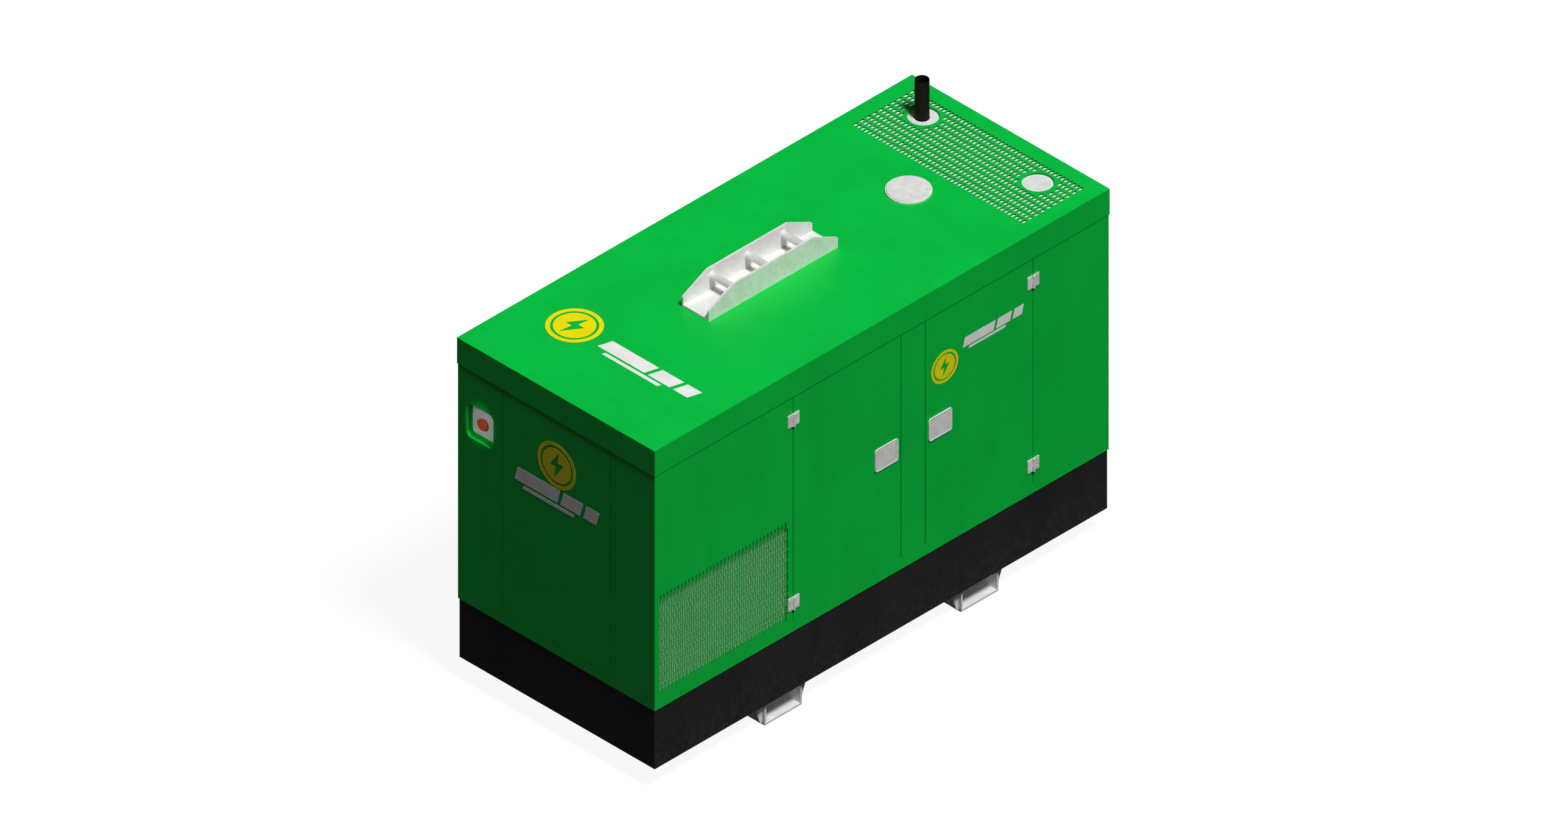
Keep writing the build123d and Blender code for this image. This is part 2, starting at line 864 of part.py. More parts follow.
def control_fascia():
    plate_x = (control_box_front - fascia_thickness, control_box_front)
    plate = block(plate_x, both(control_box_width / 2), (control_box_low, control_box_high))
    face = breaker_face()
    body = block((face, plate_x[0]), both(breaker_width / 2), (breaker_low, breaker_low + breaker_height))
    ear_inner = lever_hub_length / 2 + ear_gap
    reach = 2 * lever_hub_radius + ear_gap
    ear_y = (ear_inner, ear_inner + ear_thickness)
    ear = block((face - reach, face), ear_y, about(lever_height(), ear_height))
    body += ear + to_left_side(ear)
    pivot_x = face - lever_hub_radius - ear_gap
    ear_outer = ear_inner + ear_thickness
    pivot = ((pivot_x, -ear_outer, lever_height()), (pivot_x, ear_outer, lever_height()))
    return [plate, body - rod(lever_pin_radius + pin_clearance, *pivot)]


def breaker_lever():
    pivot_x = breaker_face() - lever_hub_radius - ear_gap
    z = lever_height()
    half_hub = lever_hub_length / 2
    half_pin = half_hub + ear_gap + ear_thickness
    lever = rod(lever_hub_radius, (pivot_x, -half_hub, z), (pivot_x, half_hub, z))
    lever += rod(lever_pin_radius, (pivot_x, -half_pin, z), (pivot_x, half_pin, z))
    return [lever + block((pivot_x - lever_length, pivot_x), both(half_hub), about(z, lever_width))]


def roof_shell():
    half_length = end_x + roof_overhang
    half_width = side_y + roof_overhang
    roof = block(both(half_length), both(half_width), (opening_high, roof_top))
    roof -= block(both(half_length - sheet), both(half_width - sheet), (opening_high, roof_under))
    roof -= block(
        about(outlet_centre, 2 * outlet_half_x), both(outlet_half_y), (roof_under, roof_top)
    )
    hole = cap_skirt_radius + cap_hole_clearance
    return [roof - rod(hole, (cap_x, 0, roof_under), (cap_x, 0, roof_top))]


def outlet_holes():
    return [(outlet_hole_x, -outlet_hole_spread), (outlet_hole_x, outlet_hole_spread)]


def outlet_slot_places():
    places = []
    for column in range(outlet_columns):
        for row in range(outlet_rows):
            x = outlet_centre + (column - (outlet_columns - 1) / 2) * outlet_pitch_x
            y = (row - (outlet_rows - 1) / 2) * outlet_pitch_y
            if all(math.dist((x, y), hole) > outlet_hole_margin for hole in outlet_holes()):
                places.append((x, y))
    return places


def roof_grille():
    slot = SlotOverall(outlet_slot_length, outlet_slot_width)
    cuts = [(x, y, Pos(x, y) * slot) for x, y in outlet_slot_places()]
    cuts += [(x, y, Pos(x, y) * Circle(outlet_hole_radius)) for x, y in outlet_holes()]
    across = about(outlet_centre, 2 * outlet_half_x)
    bands = plate_edges(0, outlet_pitch_y, outlet_rows, outlet_plates, outlet_half_y)
    return [Pos(0, 0, roof_under) * punched_plate(across, band, cuts) for band in bands]


# Plain plates just behind the grilles, on spacers, that keep rain and noise in check.
def roof_baffle():
    top = roof_top - outlet_baffle_drop
    half_x = outlet_half_x + outlet_margin
    half_y = outlet_half_y + outlet_margin
    plate = block(about(outlet_centre, 2 * half_x), both(half_y), (top - baffle_sheet, top))
    hole = stack_radius + stack_clearance
    plate -= rod(hole, (stack_x, stack_y, top - baffle_sheet), (stack_x, stack_y, top))
    for x in (outlet_centre - half_x, outlet_centre + half_x - outlet_margin):
        for y in (-half_y, -2 * outlet_margin, half_y - 4 * outlet_margin):
            plate += block((x, x + outlet_margin), (y, y + 4 * outlet_margin), (top, roof_under))
    return plate


def intake_halves():
    half_x = (intake_columns - 0.5) * intake_pitch_x / 2 + intake_slot_width / 2 + intake_margin
    half_z = (intake_rows - 1) * intake_pitch_z / 2 + intake_slot_length / 2 + intake_margin
    return half_x, half_z


def intake_spans():
    half_x, half_z = intake_halves()
    return about(intake_centre, 2 * half_x), about(intake_centre_height, 2 * half_z)


def side_baffle():
    (x_low, x_high), (z_low, z_high) = intake_spans()
    spacer = intake_baffle_gap
    across = (x_low - spacer, x_high + spacer)
    up = (z_low - spacer, z_high + spacer)
    back = spacer + baffle_sheet
    plate = block(across, (spacer, back), up)
    for x in (across[0], across[1] - spacer):
        for z in (up[0], up[1] - spacer):
            plate += block((x, x + spacer), (0, spacer), (z, z + spacer))
    return Pos(0, -side_inner, 0) * plate


def weather_baffles():
    return [roof_baffle(), *with_left_side([side_baffle()])]


def intake_slot_places():
    places = []
    for column in range(2 * intake_columns):
        x = intake_centre + (column - intake_columns + 0.5) * intake_pitch_x / 2
        rows = intake_rows - column % 2
        for row in range(rows):
            places.append((x, intake_centre_height + (row - (rows - 1) / 2) * intake_pitch_z))
    return places


def intake_grilles():
    slot = SlotOverall(intake_slot_length, intake_slot_width, rotation=90)
    cuts = [(x, z, Pos(x, z) * slot) for x, z in intake_slot_places()]
    up = intake_spans()[1]
    bands = plate_edges(intake_centre, intake_pitch_x, intake_columns, intake_plates, intake_halves()[0])
    plates = [Pos(0, sheet, 0) * Rot(90, 0, 0) * punched_plate(band, up, cuts) for band in bands]
    return with_left_side([on_right_side(plate) for plate in plates])


def side_intake_panels():
    x_span = (-end_x, service_opening[0])
    z_span = (base_top, roof_under)
    panel = pressed_panel(x_span, z_span, ("right", "bottom", "top"), reliefs=(panel_return, 0))
    across, up = intake_spans()
    panel -= block(across, (0, sheet), up)
    edge = x_span[1]
    panel += stop_strip((edge - sheet, edge + stop_lip), (opening_low + stop_lip, opening_high - stop_lip))
    return with_left_side([on_right_side(panel)])


def side_sill():
    span = (service_opening[0], engine_opening[1])
    sill = pressed_panel(span, (base_top, opening_low), ("bottom", "top"))
    for opening in (service_opening, engine_opening):
        sill += stop_strip(opening, (opening_low - sheet, opening_low + stop_lip))
    return sill


def side_header():
    span = (service_opening[0], engine_opening[1])
    header = pressed_panel(span, (opening_high, roof_under), ("bottom", "top"))
    for opening in (service_opening, engine_opening):
        header += stop_strip(opening, (opening_high - stop_lip, opening_high + sheet))
    return header


def side_post():
    span = (service_opening[1], engine_opening[0])
    post = pressed_panel(span, (opening_low, opening_high), ("left", "right"))
    upright = (opening_low + stop_lip, opening_high - stop_lip)
    post += stop_strip((span[0] - stop_lip, span[0] + sheet), upright)
    return post + stop_strip((span[1] - sheet, span[1] + stop_lip), upright)


def side_end_panel():
    span = (engine_opening[1], end_x)
    folds = ("left", "bottom", "top")
    panel = pressed_panel(span, (base_top, roof_under), folds, reliefs=(0, panel_return))
    edge = span[0]
    upright = (opening_low + stop_lip, opening_high - stop_lip)
    return panel + stop_strip((edge - stop_lip, edge + sheet), upright)


def canopy_side_panels():
    pieces = [side_sill(), side_header(), side_post(), side_end_panel()]
    return with_left_side([on_right_side(piece) for piece in pieces])


# Panels of the control end, drawn facing -Y with their left to the canopy's left side.
def control_end_panels():
    full = (base_top, roof_under)
    across = both(control_edge)
    sill = pressed_panel(across, (base_top, control_opening_low), ("bottom", "top"))
    header = pressed_panel(across, (opening_high, roof_under), ("bottom", "top"))
    hinge_strip = pressed_panel((control_edge, side_inner), full, ("left", "bottom", "top"))
    latch_strip = pressed_panel((-side_inner, -control_edge), full, ("right", "bottom", "top"))
    edge = -control_edge
    latch_strip += stop_strip((edge - sheet, edge + stop_lip), (control_opening_low, opening_high))
    window = rounded_plate(recess_width, recess_height, recess_corner, sheet)
    latch_strip -= Pos(-estop_y, 0, estop_z) * window
    panels = [on_control_end(piece) for piece in (sill, header, hinge_strip, latch_strip)]
    return [*panels, *control_door_pivots()]


def radiator_end_panel():
    panel = pressed_panel(both(side_inner), (base_top, roof_under), ("bottom", "top"))
    return [on_radiator_end(panel)]


def at_estop(shape, depth):
    return on_control_end(Pos(-estop_y, depth, estop_z) * shape)


def estop_recess():
    outer = rounded_plate(
        recess_width + 2 * sheet, recess_height + 2 * sheet, recess_corner + sheet, recess_depth
    )
    inner = rounded_plate(recess_width, recess_height, recess_corner, recess_depth - sheet)
    tray = at_estop(outer, sheet) - at_estop(inner, sheet)
    bore = estop_stem_radius + estop_stem_clearance
    floor = (estop_floor, estop_y, estop_z)
    return [tray - rod(bore, floor, (estop_floor + sheet, estop_y, estop_z))]


def estop_plate():
    plate = rounded_plate(estop_plate_width, estop_plate_height, estop_plate_corner, estop_plate_thickness)
    plate = at_estop(plate, recess_depth - estop_plate_thickness)
    block_start = estop_floor + sheet
    block_end = block_start + estop_block_length
    contact = block((block_start, block_end), about(estop_y, estop_block), about(estop_z, estop_block))
    bore_ends = ((estop_face, estop_y, estop_z), (block_end, estop_y, estop_z))
    bore = rod(estop_stem_radius + estop_stem_clearance, *bore_ends)
    return [plate - bore, contact - bore]


def estop_stem():
    start = estop_head_back - estop_stem_grip
    end = start + estop_stem_length
    return [rod(estop_stem_radius, (start, estop_y, estop_z), (end, estop_y, estop_z))]


def estop_head():
    centre = (estop_y, estop_z)
    front = estop_head_back - estop_head_thickness
    head = rod(estop_head_radius, (front, *centre), (estop_head_back, *centre))
    head = fillet(head.faces().sort_by(Axis.X)[0].edges(), estop_head_thickness / 4)
    bore_end = estop_head_back - estop_stem_grip - axial_gap
    return [head - rod(estop_stem_radius + pin_clearance, (bore_end, *centre), (estop_head_back, *centre))]


def roof_cap():
    cap = rod(cap_radius, (cap_x, 0, roof_top), (cap_x, 0, roof_top + cap_flange))
    cap += rod(cap_top_radius, (cap_x, 0, roof_top), (cap_x, 0, roof_top + cap_height))
    low = roof_top - cap_skirt_depth
    return [cap + tube(cap_skirt_radius, cap_skirt_radius - sheet, (cap_x, 0, low), (cap_x, 0, roof_top))]


def lifting_channel():
    half = channel_length / 2
    low = channel_height - channel_chamfer_drop
    slope = half - channel_chamfer_length
    right = [(half, 0), (half, low), (slope, channel_height)]
    left = [(-x, z) for x, z in reversed(right)]
    outline = Polyline(*right, *left, close=True)
    face = make_face(outline)
    face = fillet(face.vertices().group_by(Axis.Y)[1], channel_corner)
    solid = Rot(90, 0, 0) * extrude(face, channel_width / 2, both=True)
    inner = channel_width / 2 - channel_plate
    solid -= block(both(half), both(inner), (channel_plate, channel_height))
    return [Pos(channel_centre, 0, roof_top) * solid]


def lifting_bars():
    reach = channel_width / 2 - channel_plate
    z = roof_top + bar_height
    places = [channel_centre + step * bar_pitch for step in (-1, 0, 1)]
    return [rod(bar_radius, (x, -reach, z), (x, reach, z)) for x in places]


# Two hoops and two rails under the roof that carry the set from the lifting channel.
def lifting_frame():
    outer = side_y - frame_inset
    inner = outer - frame_tube
    beam_under = roof_under - frame_tube
    pieces = []
    for x in (frame_rear, post_centre):
        across = about(x, frame_tube)
        upright = hollow_bar(across, (-outer, -inner), (base_top, beam_under), frame_wall, 2)
        pieces += with_left_side([upright])
        pieces.append(hollow_bar(across, both(outer), (beam_under, roof_under), frame_wall, 1))
    rail_x = (frame_rear + frame_tube / 2, post_centre - frame_tube / 2)
    rail_y = about(-frame_rail_offset, frame_tube)
    rail = hollow_bar(rail_x, rail_y, (beam_under, roof_under), frame_wall, 0)
    return [*pieces, *with_left_side([rail])]


# One hinge seen from outside, with its axis upright at x = 0 and y = 0.
# The leaf is flush with the panel at y = knuckle_standoff.
def hinge_half(direction, z_spans):
    root = knuckle_radius + 2 * axial_gap
    far = hinge_width / 2
    leaf_y = (knuckle_standoff - hinge_leaf, knuckle_standoff)
    leaf = block(sorted((direction * root, direction * far)), leaf_y, both(hinge_height / 2))
    for low, high in z_spans:
        leaf += block(sorted((0, direction * root)), leaf_y, (low, high))
        leaf += rod(knuckle_radius, (0, 0, low), (0, 0, high))
    half = hinge_height / 2
    return leaf - rod(hinge_pin_radius + pin_clearance, (0, 0, -half), (0, 0, half))


def knuckle_spans():
    half = hinge_height / 2
    third = hinge_height / 6
    fixed = [(-half, -third - axial_gap / 2), (third + axial_gap / 2, half)]
    return fixed, [(-third + axial_gap / 2, third - axial_gap / 2)]


def fixed_hinges():
    half = hinge_height / 2
    pieces = []
    for z in hinge_heights:
        place = Pos(hinge_x, hinge_y, z)
        leaf = place * hinge_half(-1, knuckle_spans()[0])
        pin = place * rod(hinge_pin_radius, (0, 0, -half), (0, 0, half))
        pieces += [leaf, pin, to_engine_door(leaf), to_engine_door(pin)]
    return with_left_side(pieces)


def latch_centre():
    return service_opening[1] - door_gap - latch_inset, (opening_low + opening_high) / 2


def at_latch(shape):
    x, z = latch_centre()
    return on_right_side(Pos(x, 0, z) * shape)


def dish_outline():
    return (both(window_width / 2 + dish_wall), both(window_height / 2 + dish_wall))


def spindle_axis():
    x = window_width / 2 - barrel_radius - paddle_gap
    return x, barrel_radius - latch_plate


def door_leaf():
    across = (service_opening[0] + door_gap, service_opening[1] - door_gap)
    up = (opening_low + door_gap, opening_high - door_gap)
    leaf = on_right_side(pressed_panel(across, up, ("left", "right", "bottom", "top"), door_depth))
    (x_low, x_high), (z_low, z_high) = dish_outline()
    grow = dish_clearance
    hole = block((x_low - grow, x_high + grow), (0, sheet), (z_low - grow, z_high + grow))
    return [leaf - at_latch(hole)]


def latch_housing():
    across, up = dish_outline()
    bezel = Pos(0, -latch_plate, 0) * rounded_plate(latch_width, latch_height, latch_corner, latch_plate)
    dish = block(across, (0, dish_depth), up)
    window = (-latch_plate, dish_depth - dish_wall)
    inside = block(both(window_width / 2), window, both(window_height / 2))
    x, y = spindle_axis()
    spindle = rod(spindle_radius + pin_clearance, (x, y, up[0]), (x, y, up[1]))
    return at_latch(bezel + dish - inside - spindle)


def door_hardware():
    leaves = [Pos(hinge_x, hinge_y, z) * hinge_half(1, knuckle_spans()[1]) for z in hinge_heights]
    return [*leaves, latch_housing()]


def latch_paddle():
    x, y = spindle_axis()
    half_height = window_height / 2 - paddle_gap
    paddle = block((paddle_gap - window_width / 2, x), (-latch_plate, 0), both(half_height))
    paddle += rod(barrel_radius, (x, y, -half_height), (x, y, half_height))
    half_spindle = window_height / 2 + dish_wall - axial_gap
    return [at_latch(paddle + rod(spindle_radius, (x, y, -half_spindle), (x, y, half_spindle)))]


# The control door hangs on two hidden pins near its edge on the right side.
def control_pivot_y():
    return door_gap + control_pivot_inset - control_edge


def control_door():
    across = both(control_edge - door_gap)
    up = (control_opening_low + door_gap, opening_high - door_gap)
    leaf = on_control_end(pressed_panel(across, up, ("left", "right", "bottom", "top"), door_depth))
    place = (control_pivot_depth - end_x, control_pivot_y())
    return [leaf - rod(pivot_radius + pin_clearance, (*place, up[0]), (*place, up[1]))]


def control_door_pivots():
    place = (control_pivot_depth - end_x, control_pivot_y())
    collar = door_gap - axial_gap
    low = control_opening_low
    high = opening_high
    bottom = rod(pivot_collar, (*place, low), (*place, low + collar))
    bottom += rod(pivot_radius, (*place, low), (*place, low + collar + pivot_reach))
    top = rod(pivot_collar, (*place, high - collar), (*place, high))
    top += rod(pivot_radius, (*place, high - collar - pivot_reach), (*place, high))
    return [bottom, top]


def save(name, solids):
    export_step(Compound(list(solids)), os.path.join("parts", name + ".step"), write_pcurves=False)


fixed_nodes = {
    "base_frame": base_frame,
    "deck_plate": deck_plate,
    "fork_pockets": fork_pockets,
    "fuel_tank": fuel_tank,
    "engine_bearers": engine_bearers,
    "rubber_mounts": rubber_mounts,
    "engine_block": engine_block,
    "oil_sump": oil_sump,
    "cylinder_head": cylinder_head,
    "rocker_cover": rocker_cover,
    "exhaust_manifold": exhaust_manifold,
    "air_intake": air_intake,
    "service_filters": service_filters,
    "starter_motor": starter_motor,
    "flywheel_housing": flywheel_housing,
    "alternator": alternator,
    "drive_belt": drive_belt,
    "radiator": radiator,
    "fan_shroud": fan_shroud,
    "coolant_hoses": coolant_hoses,
    "exhaust_pipe": exhaust_pipe,
    "silencer": silencer,
    "exhaust_stack": exhaust_stack,
    "battery": battery,
    "control_box": control_box,
    "control_fascia": control_fascia,
    "roof_shell": roof_shell,
    "roof_grille": roof_grille,
    "weather_baffles": weather_baffles,
    "intake_grilles": intake_grilles,
    "side_intake_panels": side_intake_panels,
    "canopy_side_panels": canopy_side_panels,
    "control_end_panels": control_end_panels,
    "radiator_end_panel": radiator_end_panel,
    "estop_recess": estop_recess,
    "estop_plate": estop_plate,
    "lifting_channel": lifting_channel,
    "lifting_bars": lifting_bars,
    "lifting_frame": lifting_frame,
    "fixed_hinges": fixed_hinges,
}

moving_nodes = {
    "control_door": control_door,
    "estop_stem": estop_stem,
    "estop_head": estop_head,
    "roof_cap": roof_cap,
    "fuel_cap": fuel_cap,
    "crank_pulley": crank_pulley,
    "cooling_fan": cooling_fan,
    "breaker_lever": breaker_lever,
}

# Each side door is the right service door, mirrored across the post, across the canopy or both.
door_nodes = {
    "door": door_leaf,
    "door_hardware": door_hardware,
    "door_paddle": latch_paddle,
}

os.makedirs("parts", exist_ok=True)
for name, build in {**fixed_nodes, **moving_nodes}.items():
    save(name, build())
for name, build in door_nodes.items():
    service = build()
    engine = [to_engine_door(shape) for shape in service]
    save("right_service_" + name, service)
    save("right_engine_" + name, engine)
    save("left_service_" + name, [to_left_side(shape) for shape in service])
    save("left_engine_" + name, [to_left_side(shape) for shape in engine])
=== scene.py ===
import math

import bmesh
import bpy
from mathutils import Matrix, Vector


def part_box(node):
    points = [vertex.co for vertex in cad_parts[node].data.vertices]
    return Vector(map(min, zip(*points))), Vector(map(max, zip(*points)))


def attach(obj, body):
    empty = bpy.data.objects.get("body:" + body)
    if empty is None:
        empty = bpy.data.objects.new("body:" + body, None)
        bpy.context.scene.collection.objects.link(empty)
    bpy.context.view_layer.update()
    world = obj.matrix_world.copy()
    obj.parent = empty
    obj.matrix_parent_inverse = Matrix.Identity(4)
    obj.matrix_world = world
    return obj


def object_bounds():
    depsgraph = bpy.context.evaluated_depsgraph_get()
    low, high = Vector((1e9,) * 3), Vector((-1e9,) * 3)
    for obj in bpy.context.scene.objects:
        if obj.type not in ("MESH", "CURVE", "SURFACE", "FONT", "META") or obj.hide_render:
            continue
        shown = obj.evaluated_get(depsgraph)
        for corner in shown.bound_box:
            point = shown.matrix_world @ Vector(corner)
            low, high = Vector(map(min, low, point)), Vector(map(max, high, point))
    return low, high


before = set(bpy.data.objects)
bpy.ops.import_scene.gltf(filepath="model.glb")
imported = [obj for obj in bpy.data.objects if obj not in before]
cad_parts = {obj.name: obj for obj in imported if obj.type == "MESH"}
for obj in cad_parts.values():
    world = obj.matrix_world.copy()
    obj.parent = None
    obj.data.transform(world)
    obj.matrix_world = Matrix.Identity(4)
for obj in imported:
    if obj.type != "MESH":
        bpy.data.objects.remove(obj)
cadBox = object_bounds()
cadCentre = (cadBox[0] + cadBox[1]) / 2
print("frame loaded with", len(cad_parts), "nodes")

# Camera, floor and lights

cameraLook = {
    "across": 5.6355,  # width of the picture, metres
    "azimuth": -45.0,
    "elevation": 35.264,
    "aimFromCentre": (0.2805, 0.2771, -0.2733),
    "distance": 9.0,
}
studioLook = {
    "floorHalf": 30.0,
    "floorTone": 0.9,
    "floorGlow": 0.93,  # how much of the floor's white never falls into shadow
    "floorDiffuse": 0.09,
    "keyFrom": (-0.045, -0.475, 0.945),
    "keyStrength": 3.18,
    "keySoftness": 0.22,
    "skyTone": 0.042,
    "glossFrom": (-3.4, -4.2, 2.6),
    "glossPower": 190.0,
    "glossSize": 3.0,
    "spotFrom": (-3.1, 0.05, 2.75),  # a narrow fill for the emergency stop's recess
    "spotAt": (-1.14, 0.3885, 1.168),
    "spotPower": 75.0,
    "spotAngle": 0.062,
}


def makeCamera(look):
    turn = math.radians(look["azimuth"])
    lift = math.radians(look["elevation"])
    back = Vector((math.sin(turn) * math.cos(lift), -math.cos(turn) * math.cos(lift), math.sin(lift)))
    camera = bpy.data.objects.new("pictureCamera", bpy.data.cameras.new("pictureCamera"))
    camera.data.type = "ORTHO"
    camera.data.ortho_scale = look["across"]
    camera.location = cadCentre + Vector(look["aimFromCentre"]) + back * look["distance"]
    camera.rotation_euler = back.to_track_quat("Z", "Y").to_euler()
    bpy.context.scene.collection.objects.link(camera)
    bpy.context.scene.camera = camera


def makeFloor(look):
    half = look["floorHalf"]
    corners = [(-half, -half, 0), (half, -half, 0), (half, half, 0), (-half, half, 0)]
    mesh = bpy.data.meshes.new("studioFloor")
    mesh.from_pydata(corners, [], [(0, 1, 2, 3)])
    floor = bpy.data.objects.new("studioFloor", mesh)
    material = bpy.data.materials.new("paleFloor")
    material.use_nodes = True
    shader = material.node_tree.nodes["Principled BSDF"]
    tone = look["floorDiffuse"]
    glow = look["floorGlow"]
    shader.inputs["Base Color"].default_value = (tone, tone, tone, 1)
    shader.inputs["Roughness"].default_value = look["floorTone"]
    shader.inputs["Specular IOR Level"].default_value = 0
    shader.inputs["Emission Color"].default_value = (glow, glow, glow, 1)
    shader.inputs["Emission Strength"].default_value = 1
    mesh.materials.append(material)
    floor.visible_diffuse = False
    floor.visible_glossy = False
    bpy.context.scene.collection.objects.link(floor)


def makeLights(look):
    key = bpy.data.objects.new("keyLight", bpy.data.lights.new("keyLight", "SUN"))
    key.data.energy = look["keyStrength"]
    key.data.angle = look["keySoftness"]
    key.rotation_euler = Vector(look["keyFrom"]).to_track_quat("Z", "Y").to_euler()
    gloss = bpy.data.objects.new("glossLight", bpy.data.lights.new("glossLight", "AREA"))
    gloss.data.energy = look["glossPower"]
    gloss.data.size = look["glossSize"]
    gloss.location = look["glossFrom"]
    gloss.rotation_euler = Vector(look["glossFrom"]).to_track_quat("Z", "Y").to_euler()
    gloss.visible_diffuse = False  # only there to put a sheen on metal and paint
    spot = bpy.data.objects.new("recessLight", bpy.data.lights.new("recessLight", "SPOT"))
    spot.data.energy = look["spotPower"]
    spot.data.spot_size = look["spotAngle"]
    spot.data.spot_blend = 0.5
    spot.data.shadow_soft_size = 0.02
    spot.location = look["spotFrom"]
    aim = Vector(look["spotFrom"]) - Vector(look["spotAt"])
    spot.rotation_euler = aim.to_track_quat("Z", "Y").to_euler()
    for light in (key, gloss, spot):
        bpy.context.scene.collection.objects.link(light)
    world = bpy.data.worlds.new("softSky")
    world.use_nodes = True
    nodes = world.node_tree.nodes
    nodes.clear()
    sky = nodes.new("ShaderNodeBackground")
    sky.inputs["Color"].default_value = (look["skyTone"],) * 3 + (1,)
    white = nodes.new("ShaderNodeBackground")
    seen = nodes.new("ShaderNodeLightPath")
    both = nodes.new("ShaderNodeMixShader")
    out = nodes.new("ShaderNodeOutputWorld")
    white.inputs["Color"].default_value = (1, 1, 1, 1)
    links = world.node_tree.links
    links.new(seen.outputs["Is Camera Ray"], both.inputs[0])
    links.new(sky.outputs[0], both.inputs[1])
    links.new(white.outputs[0], both.inputs[2])
    links.new(both.outputs[0], out.inputs[0])
    bpy.context.scene.world = world


makeCamera(cameraLook)
makeFloor(studioLook)
makeLights(studioLook)
bpy.context.scene.view_settings.view_transform = "Standard"
print("camera, floor and lights ready")


# Finishes

class Wire:
    # one socket of a finish, so that masks can be written as sums
    def __init__(self, finish, socket):
        self.finish = finish
        self.socket = socket

    def sum(self, operation, first, second):
        return self.finish.node("Math", {"operation": operation}, {0: first, 1: second})

    def __add__(self, other):
        return self.sum("ADD", self, other)

    def __sub__(self, other):
        return self.sum("SUBTRACT", self, other)

    def __mul__(self, other):
        return self.sum("MULTIPLY", self, other)

    def __radd__(self, other):
        return self.sum("ADD", other, self)

    def __rsub__(self, other):
        return self.sum("SUBTRACT", other, self)

    def __rmul__(self, other):
        return self.sum("MULTIPLY", other, self)


class Finish:
    def __init__(self, name):
        self.material = bpy.data.materials.new(name)
        self.material.use_nodes = True
        self.tree = self.material.node_tree
        self.shader = self.tree.nodes["Principled BSDF"]
        self.place = self.node("TexCoord", {}, {}, "Object")
        self.height = self.node("SeparateXYZ", {}, {0: self.place}, "Z")

    def node(self, kind, settings, sockets, output=0):
        made = self.tree.nodes.new("ShaderNode" + kind)
        for name, value in settings.items():
            setattr(made, name, value)
        for name, value in sockets.items():
            self.join(value, made.inputs[name])
        return Wire(self, made.outputs[output])

    def join(self, value, socket):
        if isinstance(value, Wire):
            self.tree.links.new(value.socket, socket)
        else:
            socket.default_value = value

    def set(self, **values):
        for name, value in values.items():
            self.join(value, self.shader.inputs[shaderSockets[name]])
        return self

    def noise(self, scale, detail=3.0, stretch=(1, 1, 1)):
        spread = self.node("Mapping", {}, {"Vector": self.place, "Scale": stretch})
        return self.node("TexNoise", {}, {"Vector": spread, "Scale": scale, "Detail": detail})

    def ramp(self, value, low, high):
        return self.node("MapRange", {"interpolation_type": "SMOOTHSTEP"}, {0: value, 1: low, 2: high})

    def blend(self, share, first, second):
        return self.node("Mix", {"data_type": "RGBA"}, {0: share, 6: first, 7: second}, 2)

    def relief(self, height, depth, strength=1.0):
        bump = self.node("Bump", {}, {"Height": height, "Distance": depth, "Strength": strength})
        return self.set(normal=bump)


shaderSockets = {
    "colour": "Base Color",
    "metal": "Metallic",
    "rough": "Roughness",
    "gloss": "Specular IOR Level",
    "coat": "Coat Weight",
    "coatRough": "Coat Roughness",
    "normal": "Normal",
}


def toned(colour, share):
    return tuple(min(1.0, part * share) for part in colour[:3]) + (1,)


paintLook = {
    "canopy_green": {"colour": (0.0, 0.54, 0.056, 1), "rough": 0.42, "shift": 0.07, "peel": 700.0,
                     "peelDepth": 0.00006, "coat": 0.06, "dust": 0.06, "dustTop": 0.62, "gloss": 0.22},
    "base_black": {"colour": (0.016, 0.0165, 0.017, 1), "rough": 0.55, "shift": 0.25, "peel": 420.0,
                   "peelDepth": 0.00018, "coat": 0.0, "dust": 0.07, "dustTop": 0.42, "gloss": 0.28},
    "engine_paint": {"colour": (0.075, 0.083, 0.092, 1), "rough": 0.45, "shift": 0.2, "peel": 260.0,
                     "peelDepth": 0.0003, "coat": 0.1, "dust": 0.22, "dustTop": 0.72, "gloss": 0.4},
    "alternator_paint": {"colour": (0.15, 0.16, 0.17, 1), "rough": 0.45, "shift": 0.15, "peel": 320.0,
                         "peelDepth": 0.0002, "coat": 0.1, "dust": 0.18, "dustTop": 0.62, "gloss": 0.4},
    "stack_black": {"colour": (0.006, 0.0058, 0.0055, 1), "rough": 0.62, "shift": 0.35, "peel": 300.0,
                    "peelDepth": 0.0002, "coat": 0.0, "dust": 0.0, "dustTop": 0.2, "gloss": 0.15},
    "cooling_black": {"colour": (0.02, 0.02, 0.021, 1), "rough": 0.5, "shift": 0.3, "peel": 380.0,
                      "peelDepth": 0.00015, "coat": 0.0, "dust": 0.2, "dustTop": 0.8, "gloss": 0.35},
    "control_grey": {"colour": (0.45, 0.46, 0.46, 1), "rough": 0.5, "shift": 0.06, "peel": 900.0,
                     "peelDepth": 0.00012, "coat": 0.0, "dust": 0.0, "dustTop": 0.5, "gloss": 0.3},
    "filter_white": {"colour": (0.72, 0.72, 0.69, 1), "rough": 0.3, "shift": 0.05, "peel": 500.0,
                     "peelDepth": 0.00005, "coat": 0.3, "dust": 0.2, "dustTop": 0.75, "gloss": 0.5},
}
dustColour = (0.24, 0.205, 0.16, 1)


